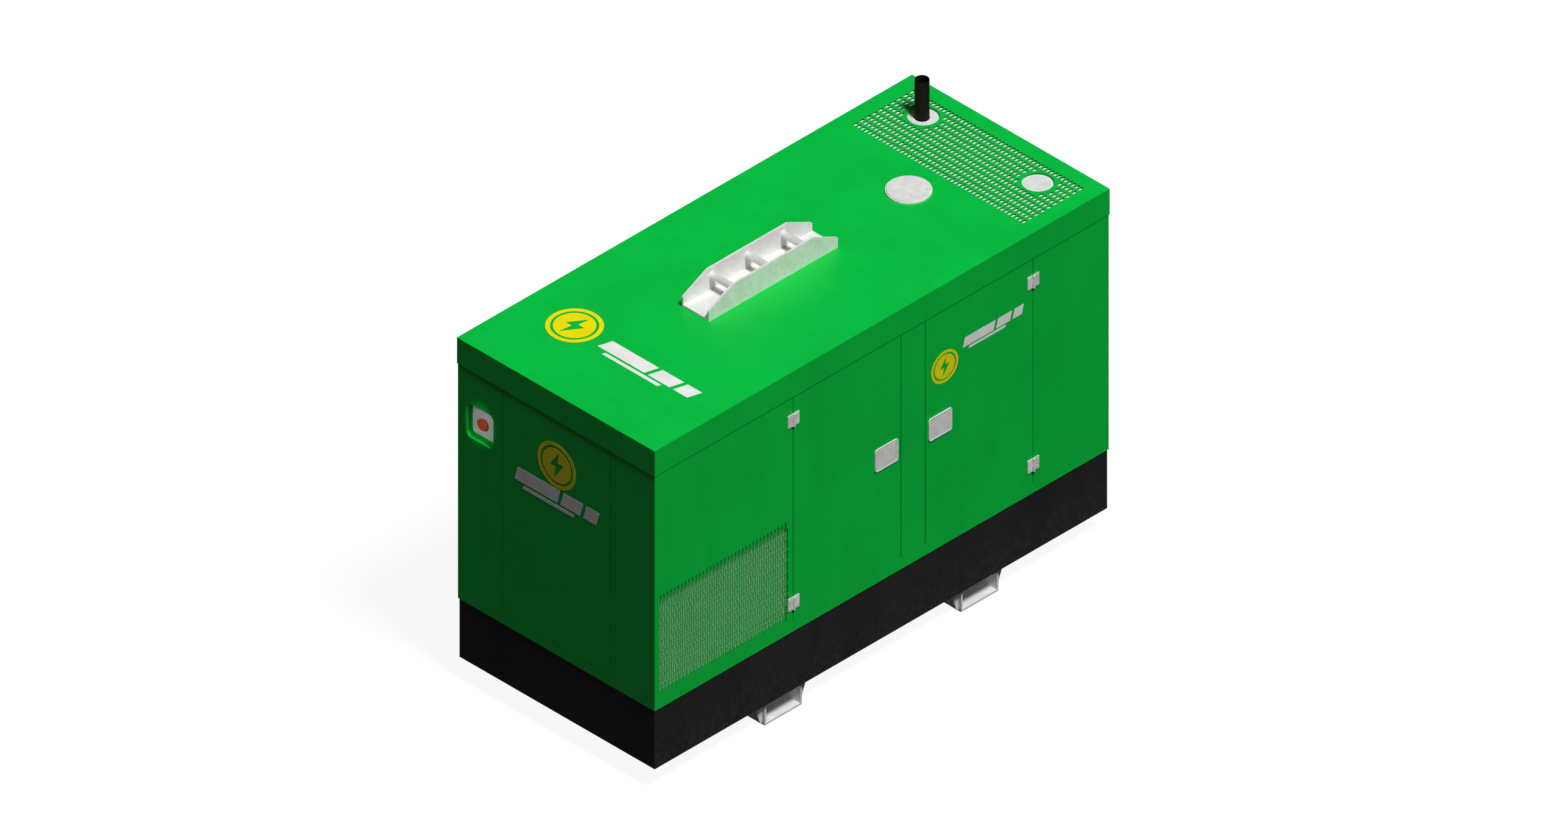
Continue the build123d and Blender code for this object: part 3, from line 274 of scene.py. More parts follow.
def paintedMetal(name, look):
    finish = Finish(name)
    clouds = finish.noise(2.6, 4.0)
    streaks = finish.noise(9.0, 3.0, (1.0, 1.0, 0.12))
    tone = finish.ramp(clouds * 0.65 + streaks * 0.35, 0.32, 0.68)
    darker = toned(look["colour"], 1 - look["shift"])
    lighter = toned(look["colour"], 1 + look["shift"] / 2)
    paint = finish.blend(tone, darker, lighter)
    low = 1 - finish.ramp(finish.height, 0.0, look["dustTop"])
    dirt = low * finish.ramp(finish.noise(38.0, 5.0), 0.35, 0.75) * look["dust"]
    finish.set(colour=finish.blend(dirt, paint, dustColour))
    finish.set(rough=look["rough"] + 0.12 * (streaks - 0.5) + dirt)
    finish.set(gloss=look["gloss"], coat=look["coat"], coatRough=0.25)
    return finish.relief(finish.noise(look["peel"], 1.0), look["peelDepth"])


zincLook = {
    "colour": (0.85, 0.855, 0.835, 1),
    "bloomed": (0.66, 0.67, 0.65, 1),
    "scuffed": (0.5, 0.5, 0.48, 1),
    "spangle": 46.0,
    "metal": 0.06,
    "rough": 0.46,
}


def zincSheet(name, look):
    finish = Finish(name)
    crystals = finish.node("TexVoronoi", {}, {"Vector": finish.place, "Scale": look["spangle"]}, "Color")
    grain = finish.node("SeparateColor", {}, {0: crystals})
    bloom = finish.ramp(finish.noise(7.0, 5.0), 0.45, 0.8)
    zinc = finish.blend(grain, toned(look["colour"], 0.93), toned(look["colour"], 1.04))
    scuffs = finish.ramp(finish.noise(30.0, 4.0, (4.0, 0.5, 4.0)), 0.62, 0.72) * 0.35
    weathered = finish.blend(bloom * 0.4, zinc, look["bloomed"])
    finish.set(colour=finish.blend(scuffs, weathered, look["scuffed"]))
    finish.set(metal=look["metal"], rough=look["rough"] + 0.1 * grain + 0.1 * bloom)
    return finish.relief(finish.noise(260.0, 2.0), 0.0001)


steelLook = {"colour": (0.84, 0.84, 0.825, 1), "metal": 0.22, "rough": 0.34}


def platedSteel(name, look):
    finish = Finish(name)
    brushed = finish.noise(60.0, 3.0, (1.0, 12.0, 12.0))
    finish.set(colour=finish.blend(brushed, toned(look["colour"], 0.86), toned(look["colour"], 1.12)))
    finish.set(metal=look["metal"], rough=look["rough"] + 0.16 * brushed)
    return finish.relief(brushed, 0.00006)


ironLook = {"colour": (0.10, 0.085, 0.075, 1), "rust": (0.20, 0.075, 0.03, 1), "rough": 0.72, "metal": 0.2}


def castIron(name, look):
    finish = Finish(name)
    rust = finish.ramp(finish.noise(24.0, 6.0), 0.45, 0.7)
    finish.set(colour=finish.blend(rust, look["colour"], look["rust"]))
    finish.set(rough=look["rough"] + 0.2 * rust, metal=look["metal"])
    return finish.relief(finish.noise(330.0, 3.0), 0.0005)


silencerLook = {
    "colour": (0.40, 0.39, 0.37, 1),
    "heated": (0.26, 0.19, 0.13, 1),
    "rough": 0.38,
    "metal": 0.7,
}


def aluminisedSteel(name, look):
    finish = Finish(name)
    heat = finish.ramp(finish.noise(5.0, 4.0), 0.4, 0.75)
    finish.set(colour=finish.blend(heat, look["colour"], look["heated"]))
    finish.set(rough=look["rough"] + 0.2 * heat, metal=look["metal"])
    return finish.relief(finish.noise(180.0, 2.0), 0.0002)


plasticLook = {
    "black_plastic": {"colour": (0.022, 0.022, 0.023, 1), "rough": 0.45,
                      "grain": 900.0, "depth": 0.00012, "coat": 0.0},
    "battery_plastic": {"colour": (0.03, 0.031, 0.034, 1), "rough": 0.38,
                        "grain": 500.0, "depth": 0.0001, "coat": 0.0},
    "rubber_black": {"colour": (0.018, 0.0175, 0.017, 1), "rough": 0.72,
                     "grain": 300.0, "depth": 0.0002, "coat": 0.0},
    "estop_red": {"colour": (0.86, 0.105, 0.03, 1), "rough": 0.32,
                  "grain": 700.0, "depth": 0.00004, "coat": 0.35},
    "decalYellow": {"colour": (1.0, 0.83, 0.0, 1), "rough": 0.35,
                    "grain": 500.0, "depth": 0.00002, "coat": 0.3},
    "decalWhite": {"colour": (0.93, 0.93, 0.92, 1), "rough": 0.35,
                   "grain": 500.0, "depth": 0.00002, "coat": 0.3},
    "foamGrey": {"colour": (0.045, 0.046, 0.05, 1), "rough": 0.95,
                 "grain": 420.0, "depth": 0.0012, "coat": 0.0},
    "lampGreen": {"colour": (0.03, 0.42, 0.08, 1), "rough": 0.2,
                  "grain": 300.0, "depth": 0.00002, "coat": 0.6},
    "socketBlue": {"colour": (0.02, 0.09, 0.42, 1), "rough": 0.35,
                   "grain": 500.0, "depth": 0.00006, "coat": 0.2},
    "dialCream": {"colour": (0.85, 0.84, 0.78, 1), "rough": 0.4,
                  "grain": 500.0, "depth": 0.00002, "coat": 0.4},
    "screenGlass": {"colour": (0.02, 0.05, 0.045, 1), "rough": 0.08,
                    "grain": 90.0, "depth": 0.00002, "coat": 0.8},
}


def mouldedPlastic(name, look):
    finish = Finish(name)
    soft = finish.ramp(finish.noise(14.0, 4.0), 0.35, 0.75)
    finish.set(colour=finish.blend(soft, toned(look["colour"], 0.95), toned(look["colour"], 1.06)))
    finish.set(rough=look["rough"] + 0.08 * soft, coat=look["coat"], coatRough=0.12, gloss=0.4)
    return finish.relief(finish.noise(look["grain"], 2.0), look["depth"])


finishes = {name: paintedMetal(name, look) for name, look in paintLook.items()}
finishes.update({name: mouldedPlastic(name, look) for name, look in plasticLook.items()})
finishes["galvanised"] = zincSheet("galvanised", zincLook)
finishes["plated_steel"] = platedSteel("plated_steel", steelLook)
finishes["cast_iron"] = castIron("cast_iron", ironLook)
finishes["silencer_steel"] = aluminisedSteel("silencer_steel", silencerLook)

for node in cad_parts.values():
    for place in node.material_slots:
        slotName = place.material.name.split(".")[0]
        place.material = finishes[slotName].material
print("finishes ready:", len(finishes))


# Mesh tools: each adds one closed shape to a bmesh

def placed(origin, normal, up):
    # local z points along normal and local y along up
    z = Vector(normal).normalized()
    x = Vector(up).cross(z).normalized()
    y = z.cross(x)
    return Matrix.Translation(Vector(origin)) @ Matrix((x, y, z)).transposed().to_4x4()


def onSide(spot, sign):
    # on a canopy side, -1 for the right and 1 for the left, with local y upwards
    return placed(spot, (0, sign, 0), (0, 0, 1))


def onControlEnd(spot):
    # facing -X, as the control end does
    return placed(spot, (-1, 0, 0), (0, 0, 1))


def onTop(spot, up=(0, 1, 0)):
    return placed(spot, (0, 0, 1), up)


def turned(shape, profile, place, steps=24):
    # a profile of (radius, height) points, closed on itself, turned about local z
    rings = []
    for radius, height in profile:
        angles = [2 * math.pi * (step + 0.5) / steps for step in range(steps)]
        spots = [Vector((radius * math.cos(a), radius * math.sin(a), height)) for a in angles]
        rings.append([shape.verts.new(place @ spot) for spot in (spots if radius > 0 else spots[:1])])
    closed = profile[0][0] > 0 and profile[-1][0] > 0
    for index in range(len(rings) if closed else len(rings) - 1):
        first, second = rings[index], rings[(index + 1) % len(rings)]
        for step in range(steps):
            after = (step + 1) % steps
            ring = [first[step % len(first)], first[after % len(first)]]
            ring += [second[after % len(second)], second[step % len(second)]]
            corners = list(dict.fromkeys(ring))
            shape.faces.new(corners)


def cutSheet(shape, loops, thickness, place):
    # a flat sheet with an outer loop and any holes, from local z 0 to its thickness
    edges = []
    for loop in loops:
        points = [shape.verts.new(place @ Vector((x, y, 0))) for x, y in loop]
        edges += [shape.edges.new((points[i - 1], points[i])) for i in range(len(points))]
    filled = bmesh.ops.triangle_fill(shape, edges=edges, use_beauty=True, use_dissolve=False)
    faces = [item for item in filled["geom"] if isinstance(item, bmesh.types.BMFace)]
    raised = bmesh.ops.extrude_face_region(shape, geom=faces, use_keep_orig=True)
    lift = place.to_3x3() @ Vector((0, 0, thickness))
    corners = [item for item in raised["geom"] if isinstance(item, bmesh.types.BMVert)]
    bmesh.ops.translate(shape, verts=corners, vec=lift)


def roundedLoop(width, height, corner, steps=6):
    loop = []
    for quarter, (sideX, sideY) in enumerate(((1, 1), (-1, 1), (-1, -1), (1, -1))):
        for step in range(steps + 1):
            angle = math.pi / 2 * (quarter + step / steps)
            x = sideX * (width / 2 - corner) + corner * math.cos(angle)
            y = sideY * (height / 2 - corner) + corner * math.sin(angle)
            loop.append((x, y))
    return loop


def roundLoop(radius, steps=40):
    turns = [2 * math.pi * step / steps for step in range(steps)]
    return [(radius * math.cos(turn), radius * math.sin(turn)) for turn in turns]


def ringProfile(radius, wire, sides=10):
    # the section of a round ring of that wire
    angles = [2 * math.pi * side / sides for side in range(sides)]
    return [(radius + wire * math.cos(a), wire * math.sin(a)) for a in angles]


def show(name, shape, finishName, body, smooth=False, bevel=0.0):
    bmesh.ops.recalc_face_normals(shape, faces=shape.faces[:])
    mesh = bpy.data.meshes.new(name)
    shape.to_mesh(mesh)
    shape.free()
    mesh.materials.append(finishes[finishName].material)
    for face in mesh.polygons:
        face.use_smooth = smooth
    piece = bpy.data.objects.new(name, mesh)
    bpy.context.scene.collection.objects.link(piece)
    if bevel > 0:
        edge = piece.modifiers.new("softEdge", "BEVEL")
        edge.width = bevel
        edge.segments = 2
        edge.limit_method = "ANGLE"
    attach(piece, body)
    return piece


mm = 0.001
sides = {"right": -1, "left": 1}
doorKinds = ("service", "engine")


def doorBody(side, kind):
    return side + "_" + kind + "_door_body"


# Plain graphics where a hirer's marks would go: a ringed bolt of lightning and slanted bars

decalLook = {
    "lift": 0.25 * mm,
    "film": 0.35 * mm,
    "slant": 0.28,
    "barShares": ((0.0, 0.52), (0.56, 0.80), (0.84, 1.0)),
    "roof": {
        "emblem": (-0.8055, 0.2555), "radius": 0.106, "bars": (-0.8370, 0.107), "size": (0.455, 0.060),
    },
    "controlDoor": {
        "emblem": (-0.002, 1.191), "radius": 0.098, "bars": (0.212, 1.029), "size": (0.415, 0.060),
    },
    "engineDoor": {
        "emblem": (0.320, 1.140), "radius": 0.069, "bars": (0.412, 1.176), "size": (0.300, 0.040),
    },
    "ringInner": 0.84,
    "discOuter": 0.74,
}
boltLoop = [(0.12, 0.62), (-0.36, -0.08), (-0.07, -0.08), (-0.16, -0.62), (0.36, 0.13), (0.05, 0.13)]


def emblem(name, place, radius, body):
    shape = bmesh.new()
    bolt = [(x * radius, y * radius) for x, y in boltLoop]
    ring = [roundLoop(radius), roundLoop(radius * decalLook["ringInner"])]
    cutSheet(shape, ring, decalLook["film"], place)
    cutSheet(shape, [roundLoop(radius * decalLook["discOuter"]), bolt], decalLook["film"], place)
    show(name, shape, "decalYellow", body)


def slantedBars(name, place, size, body):
    length, height = size
    shape = bmesh.new()
    lean = height * decalLook["slant"]
    for start, end in decalLook["barShares"]:
        left, right = start * length, end * length
        corners = [(left, 0), (right, 0), (right + lean, height), (left + lean, height)]
        cutSheet(shape, [corners], decalLook["film"], place)
    under, thin = -0.42 * height, 0.26 * height
    lower = [(0.1 * length, under), (0.72 * length, under), (0.72 * length + lean / 3, under + thin)]
    cutSheet(shape, [lower + [(0.1 * length + lean / 3, under + thin)]], decalLook["film"], place)
    show(name, shape, "decalWhite", body)


def makeDecals(look):
    roof, end, engine = look["roof"], look["controlDoor"], look["engineDoor"]
    along = (1, 0, 0)
    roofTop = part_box("roof_shell")[1].z + look["lift"]
    emblem("roofEmblem", onTop((*roof["emblem"], roofTop), along), roof["radius"], "chassis")
    slantedBars("roofBars", onTop((*roof["bars"], roofTop), along), roof["size"], "chassis")
    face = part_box("control_door")[0].x - look["lift"]
    body = "control_door_body"
    emblem("controlDoorEmblem", onControlEnd((face, *end["emblem"])), end["radius"], body)
    slantedBars("controlDoorBars", onControlEnd((face, *end["bars"])), end["size"], body)
    for side, sign in sides.items():
        face = sign * (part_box("left_engine_door")[1].y + look["lift"])
        body = doorBody(side, "engine")
        (x, z), (barX, barZ) = engine["emblem"], engine["bars"]
        if sign > 0:
            barX += engine["size"][0]  # the left side reads towards -X
        emblem(side + "EngineDoorEmblem", onSide((x, face, z), sign), engine["radius"], body)
        slantedBars(side + "EngineDoorBars", onSide((barX, face, barZ), sign), engine["size"], body)


makeDecals(decalLook)
print("decals ready")


# Door furniture: latch rims, hinge screws, rubber seals and sound foam

doorLook = {
    "rimWidth": 4.5 * mm,
    "rimHeight": 0.9 * mm,
    "rimCorner": 12 * mm,
    "rimSize": (118 * mm, 99 * mm),
    "plateProud": 3 * mm,
    "screwRadius": 3.6 * mm,
    "screwRise": 0.9 * mm,
    "screwUp": 16 * mm,
    "screwOut": 20 * mm,
    "sealInset": 5 * mm,
    "sealWidth": 9 * mm,
    "sealFront": 25.4 * mm,
    "sealDepth": 2.4 * mm,
    "gap": 3 * mm,
    "leaf": 3.5 * mm,
    "hingeUp": 80 * mm,
    "hingeDown": 98 * mm,
}
foamLook = {
    "cell": 13 * mm,
    "base": 7 * mm,
    "wave": 9 * mm,
    "edge": 9 * mm,
    "latchHalf": (0.062, 0.048),
    "waveLength": 52 * mm,
    "sheet": 2.2 * mm,
    "pivotClear": 75 * mm,
    "panelEdge": 32 * mm,
    "roofBays": (
        (-1.11, -0.53, -0.45, 0.45),
        (-0.44, 0.12, -0.45, -0.09),
        (-0.44, 0.12, 0.09, 0.45),
        (0.2, 0.54, -0.45, 0.45),
    ),
}
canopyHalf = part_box("canopy_side_panels")[1].y


def latchRims(look):
    width, height = look["rimSize"]
    trim = look["rimWidth"]
    for side, sign in sides.items():
        for kind in doorKinds:
            low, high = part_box(side + "_" + kind + "_door_paddle")
            centre = (low + high) / 2
            face = sign * (canopyHalf + look["plateProud"])
            place = onSide((centre.x, face, centre.z), sign)
            outer = roundedLoop(width, height, look["rimCorner"])
            inner = roundedLoop(width - 2 * trim, height - 2 * trim, look["rimCorner"] - trim)
            shape = bmesh.new()
            cutSheet(shape, [outer, inner], look["rimHeight"], place)
            name = side + kind.capitalize() + "LatchRim"
            show(name, shape, "galvanised", doorBody(side, kind), bevel=0.4 * mm)


def screwProfile(radius, rise):
    crown = [(radius * 0.75, rise * 0.85), (radius * 0.3, rise), (0, rise)]
    return [(0, 0), (radius, 0), (radius, rise * 0.4), *crown]


def hingeScrews(look):
    # two on each leaf: the outer leaf stays with the canopy, the inner one goes with its door
    profile = screwProfile(look["screwRadius"], look["screwRise"])
    fixed = bmesh.new()
    for side, sign in sides.items():
        for kind in doorKinds:
            low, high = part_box(side + "_" + kind + "_door")
            outwards = -1 if kind == "service" else 1
            axisX = (low.x if kind == "service" else high.x) + outwards * look["gap"] / 2
            face = sign * (canopyHalf + look["leaf"])
            moving = bmesh.new()
            for hingeZ in (low.z + look["hingeUp"], high.z - look["hingeDown"]):
                for up in (-look["screwUp"], look["screwUp"]):
                    for shape, reach in ((fixed, outwards), (moving, -outwards)):
                        spot = (axisX + reach * look["screwOut"], face, hingeZ + up)
                        turned(shape, profile, onSide(spot, sign), 12)
            name = side + kind.capitalize() + "HingeScrews"
            show(name, moving, "plated_steel", doorBody(side, kind))
    show("fixedHingeScrews", fixed, "plated_steel", "chassis")


def sealRing(shape, low, high, place, look):
    # a flat rubber frame just inside an opening, in the plane that place gives
    inset, wide = look["sealInset"], look["sealWidth"]
    width, height = high[0] - low[0] - 2 * inset, high[1] - low[1] - 2 * inset
    outer = roundedLoop(width, height, wide)
    inner = roundedLoop(width - 2 * wide, height - 2 * wide, wide / 2)
    cutSheet(shape, [outer, inner], look["sealDepth"], place)


def doorSeals(look):
    shape = bmesh.new()
    for side, sign in sides.items():
        for kind in doorKinds:
            low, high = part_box(side + "_" + kind + "_door")
            gap = look["gap"]
            centre = (low + high) / 2
            spot = (centre.x, sign * (canopyHalf - look["sealFront"]), centre.z)
            corners = (low.x - gap, low.z - gap), (high.x + gap, high.z + gap)
            sealRing(shape, *corners, onSide(spot, -sign), look)
    show("sideDoorSeals", shape, "rubber_black", "chassis", bevel=0.5 * mm)


def foamPad(shape, low, high, place, look, hole=None):
    # a sheet of waved sound foam in local x and y, its back at z 0; hole is a box left out of it
    across = max(4, round((high[0] - low[0]) / look["cell"]))
    along = max(4, round((high[1] - low[1]) / look["cell"]))

    def spot(i, j):
        return low[0] + (high[0] - low[0]) * i / across, low[1] + (high[1] - low[1]) * j / along

    def kept(i, j):
        if not (0 <= i < across and 0 <= j < along):
            return False
        (x, y), (x2, y2) = spot(i, j), spot(i + 1, j + 1)
        return not hole or x2 < hole[0] or x > hole[2] or y2 < hole[1] or y > hole[3]

    fronts, backs = {}, {}

    def corner(i, j, back):
        store = backs if back else fronts
        if (i, j) not in store:
            x, y = spot(i, j)
            inner = all(kept(i - a, j - b) for a in (0, 1) for b in (0, 1))
            turn = 2 * math.pi / look["waveLength"]
            wave = (0.5 + 0.25 * (math.cos(x * turn) + math.cos(y * turn))) * look["wave"] if inner else 0
            store[(i, j)] = shape.verts.new(place @ Vector((x, y, 0 if back else look["base"] + wave)))
        return store[(i, j)]

    for i in range(across):
        for j in range(along):
            if not kept(i, j):
                continue
            around = [(i, j), (i + 1, j), (i + 1, j + 1), (i, j + 1)]
            shape.faces.new([corner(a, b, False) for a, b in around])
            shape.faces.new([corner(a, b, True) for a, b in reversed(around)])
            beside = [(i, j - 1), (i + 1, j), (i, j + 1), (i - 1, j)]
            for index, neighbour in enumerate(beside):
                if not kept(*neighbour):
                    start, end = around[index], around[(index + 1) % 4]
                    back = [corner(*start, True), corner(*end, True)]
                    shape.faces.new(back + [corner(*end, False), corner(*start, False)])


def doorFoam(look):
    edge = look["edge"]
    for side, sign in sides.items():
        for kind in doorKinds:
            low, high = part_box(side + "_" + kind + "_door")
            centre = (low + high) / 2
            paddleLow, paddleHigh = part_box(side + "_" + kind + "_door_paddle")
            latch = (paddleLow + paddleHigh) / 2 - centre
            # seen from inside, local x runs towards sign * X
            place = onSide((centre.x, sign * (canopyHalf - look["sheet"]), centre.z), -sign)
            latchX = latch.x * sign
            halfX, halfZ = look["latchHalf"]
            hole = (latchX - halfX, latch.z - halfZ, latchX + halfX, latch.z + halfZ)
            half = (high.x - low.x) / 2 - edge, (high.z - low.z) / 2 - edge
            shape = bmesh.new()
            foamPad(shape, (-half[0], -half[1]), half, place, look, hole)
            name = side + kind.capitalize() + "DoorFoam"
            pad = show(name, shape, "foamGrey", doorBody(side, kind), smooth=True)


def panelFoam(look):
    low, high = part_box("control_door")
    inner = low.x + look["sheet"]
    half = (high.y - low.y) / 2 - look["edge"], (high.z - low.z) / 2 - look["edge"]
    shape = bmesh.new()
    place = placed((inner, 0, (low.z + high.z) / 2), (1, 0, 0), (0, 0, 1))
    foamPad(shape, (look["pivotClear"] - half[0], -half[1]), half, place, look)  # clear of the pivots
    show("controlDoorFoam", shape, "foamGrey", "control_door_body", smooth=True)
    low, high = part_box("radiator_end_panel")
    shape = bmesh.new()
    place = onControlEnd((high.x - look["sheet"], 0, (low.z + high.z) / 2))
    half = canopyHalf - look["panelEdge"], (high.z - low.z) / 2 - look["panelEdge"]
    foamPad(shape, (-half[0], -half[1]), half, place, look)
    show("radiatorEndFoam", shape, "foamGrey", "chassis", smooth=True)
    # the roof lining, in the bays between the lifting frame's hoops
    shape = bmesh.new()
    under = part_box("lifting_frame")[1].z
    place = placed((0, 0, under), (0, 0, -1), (0, 1, 0))
    for lowX, highX, lowY, highY in look["roofBays"]:
        foamPad(shape, (-highX, lowY), (-lowX, highY), place, look)
    show("roofFoam", shape, "foamGrey", "chassis", smooth=True)


latchRims(doorLook)
hingeScrews(doorLook)
doorSeals(doorLook)
doorFoam(foamLook)
panelFoam(foamLook)
print("door furniture and sound foam ready")


# Small parts inside and on the roof

def rodBetween(shape, start, end, radius, steps=10):
    span = Vector(end) - Vector(start)
    up = (0, 0, 1) if abs(span.z) < abs(span.x) + abs(span.y) else (0, 1, 0)
    length = span.length
    turned(shape, [(0, 0), (radius, 0), (radius, length), (0, length)], placed(start, span, up), steps)


def boxBetween(shape, low, high):
    made = bmesh.ops.create_cube(shape, size=1)
    for corner in made["verts"]:
        corner.co = Vector([(a + b) / 2 + (b - a) * c for a, b, c in zip(low, high, corner.co)])


def bandAt(shape, centre, axis, inner, outer, width):
    low, high = -width / 2, width / 2
    section = [(inner, low), (outer, low), (outer, high), (inner, high)]
    turned(shape, section, placed(centre, axis, (0, 0, 1)), 40)


weldLook = {
    "barSpacing": 181 * mm,
    "barRadius": 14 * mm,
    "face": 60.75 * mm,
    "bead": 3 * mm,
}


def barWelds(look):
    low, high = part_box("lifting_bars")
    middle = (low + high) / 2
    bead = ringProfile(look["barRadius"] + look["bead"] / 2, look["bead"])
    shape = bmesh.new()
    for step in (-1, 0, 1):
        for sign in (-1, 1):
            spot = (middle.x + step * look["barSpacing"], sign * look["face"], middle.z)
            turned(shape, bead, onSide(spot, 1), 32)
    show("liftingBarWelds", shape, "plated_steel", "chassis", smooth=True)


controlLook = {
    "screen": {
        "centre": (0.0, 1.200), "size": (0.170, 0.110), "corner": 8 * mm, "depth": 9 * mm,
        "glass": (0.142, 0.082), "glassGap": 1 * mm, "glassCorner": 3 * mm,
    },
    "keys": {"row": 1.112, "spacing": 30 * mm, "size": (20 * mm, 13 * mm), "count": 6, "depth": 4 * mm},
    "dials": {
        "across": 0.155, "up": 1.200, "radius": 39 * mm, "depth": 12 * mm, "needle": 0.7,
        "ticks": 9, "tickSweep": 260, "tickHalf": 0.6 * mm, "tickFrom": 26 * mm, "tickTo": 31 * mm,
    },
    "lamps": {"across": (-0.175, -0.135, 0.135, 0.175), "up": 1.085, "radius": 9 * mm},
    "lampFinishes": ("lampGreen", "estop_red", "lampGreen", "decalYellow"),
    "keySwitch": {"across": 0.0, "up": 1.040, "radius": 15 * mm, "keyHalf": 11 * mm, "keyThick": 1.2 * mm},
    "sockets": {
        "across": 0.155, "up": 0.862, "flange": 43 * mm, "lid": 35 * mm, "depth": 26 * mm,
        "hingeHalf": 14 * mm, "hingeUnder": 2 * mm, "hingeOver": 6 * mm,
    },
    "screws": {"edge": 14 * mm, "radius": 4 * mm, "rise": 1.4 * mm},
}


def controlPanel(look):
    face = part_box("control_box")[0].x
    low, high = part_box("control_fascia")

    def at(y, z, out=0.0):
        return onControlEnd((face - out, y, z))

    screen = look["screen"]
    bezel = bmesh.new()
    outer = roundedLoop(*screen["size"], screen["corner"])
    glassSize = screen["glass"]
    window = roundedLoop(*glassSize, screen["glassCorner"])
    cutSheet(bezel, [outer, window], screen["depth"], at(*screen["centre"]))
    dials = look["dials"]
    for side in (-1, 1):
        spot = at(side * dials["across"], dials["up"])
        rim, depth = dials["radius"], dials["depth"]
        turned(bezel, [(rim * 0.86, 0), (rim, 0), (rim, depth), (rim * 0.86, depth * 0.8)], spot, 40)
    show("screenAndDialRims", bezel, "black_plastic", "chassis", bevel=0.8 * mm)

    glass = bmesh.new()
    pane = roundedLoop(*[size - screen["glassGap"] for size in glassSize], screen["glassCorner"])
    cutSheet(glass, [pane], screen["depth"] * 0.6, at(*screen["centre"]))
    show("screenGlass", glass, "screenGlass", "chassis")

    faces, marks = bmesh.new(), bmesh.new()
    for side in (-1, 1):
        spot = at(side * dials["across"], dials["up"])
        cutSheet(faces, [roundLoop(dials["radius"] * 0.85)], dials["depth"] * 0.4, spot)
        raised = at(side * dials["across"], dials["up"], dials["depth"] * 0.4)
        half, near, far = dials["tickHalf"], dials["tickFrom"], dials["tickTo"]
        for tick in range(dials["ticks"]):
            turn = math.radians(dials["tickSweep"] * (tick / (dials["ticks"] - 1) - 0.5))
            mark = [(-half, near), (half, near), (half, far), (-half, far)]
            cutSheet(marks, [mark], 0.4 * mm, raised @ Matrix.Rotation(-turn, 4, "Z"))
        hand = [(-1.4 * mm, -6 * mm), (1.4 * mm, -6 * mm), (0.4 * mm, 27 * mm), (-0.4 * mm, 27 * mm)]
        cutSheet(marks, [hand], 1.2 * mm, raised @ Matrix.Rotation(dials["needle"] * side, 4, "Z"))
    show("dialFaces", faces, "dialCream", "chassis")
    show("dialMarks", marks, "black_plastic", "chassis")

    keys = look["keys"]
    pads = bmesh.new()
    for index in range(keys["count"]):
        y = (index - (keys["count"] - 1) / 2) * keys["spacing"]
        cutSheet(pads, [roundedLoop(*keys["size"], 3 * mm)], keys["depth"], at(y, keys["row"]))
    show("controlKeys", pads, "rubber_black", "chassis", bevel=0.8 * mm)

    lamps = look["lamps"]
    for index, (y, finish) in enumerate(zip(lamps["across"], look["lampFinishes"])):
        lens = bmesh.new()
        r = lamps["radius"]
        dome = [(r * 0.8, 8 * mm), (r * 0.4, 10.5 * mm), (0, 11 * mm)]
        turned(lens, [(0, 0), (r, 0), (r, 3 * mm), *dome], at(y, lamps["up"]), 28)
        show("panelLamp" + str(index + 1), lens, finish, "chassis", smooth=True)

    lock = look["keySwitch"]
    metal = bmesh.new()
    r = lock["radius"]
    spot = at(lock["across"], lock["up"])
    turned(metal, [(0, 0), (r, 0), (r, 5 * mm), (r * 0.7, 9 * mm), (0, 9 * mm)], spot, 32)
    keyLow = (face - 30 * mm, lock["across"] - lock["keyThick"], lock["up"] - lock["keyHalf"])
    keyHigh = (face - 8 * mm, lock["across"] + lock["keyThick"], lock["up"] + lock["keyHalf"])
    boxBetween(metal, keyLow, keyHigh)
    edge = look["screws"]["edge"]
    profile = screwProfile(look["screws"]["radius"], look["screws"]["rise"])
    for y in (low.y + edge, high.y - edge):
        for z in (low.z + edge, high.z - edge):
            turned(metal, profile, at(y, z), 16)
    show("keySwitchAndScrews", metal, "plated_steel", "chassis", bevel=0.3 * mm)

    sockets = look["sockets"]
    shape = bmesh.new()
    for side in (-1, 1):
        spot = at(side * sockets["across"], sockets["up"])
        flange, lid, depth = sockets["flange"], sockets["lid"], sockets["depth"]
        lidFace = [(lid, depth), (lid - 3 * mm, depth + 3 * mm), (0, depth + 3 * mm)]
        turned(shape, [(0, 0), (flange, 0), (flange, 5 * mm), (lid, 8 * mm), *lidFace], spot, 40)
        top = sockets["up"] + lid
        y, half = side * sockets["across"], sockets["hingeHalf"]
        hingeLow = (face - depth - 2 * mm, y - half, top - sockets["hingeUnder"])
        boxBetween(shape, hingeLow, (face - 6 * mm, y + half, top + sockets["hingeOver"]))
    show("outletSockets", shape, "socketBlue", "chassis", bevel=1.2 * mm)


plateLook = {"inset": 9 * mm, "radius": 3.8 * mm, "rise": 1.6 * mm}


def estopScrews(look):
    low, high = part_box("estop_plate")
    shape = bmesh.new()
    profile = screwProfile(look["radius"], look["rise"])
    for y in (low.y + look["inset"], high.y - look["inset"]):
        for z in (low.z + look["inset"], high.z - look["inset"]):
            turned(shape, profile, onControlEnd((low.x, y, z)), 16)
    show("estopScrews", shape, "plated_steel", "chassis")


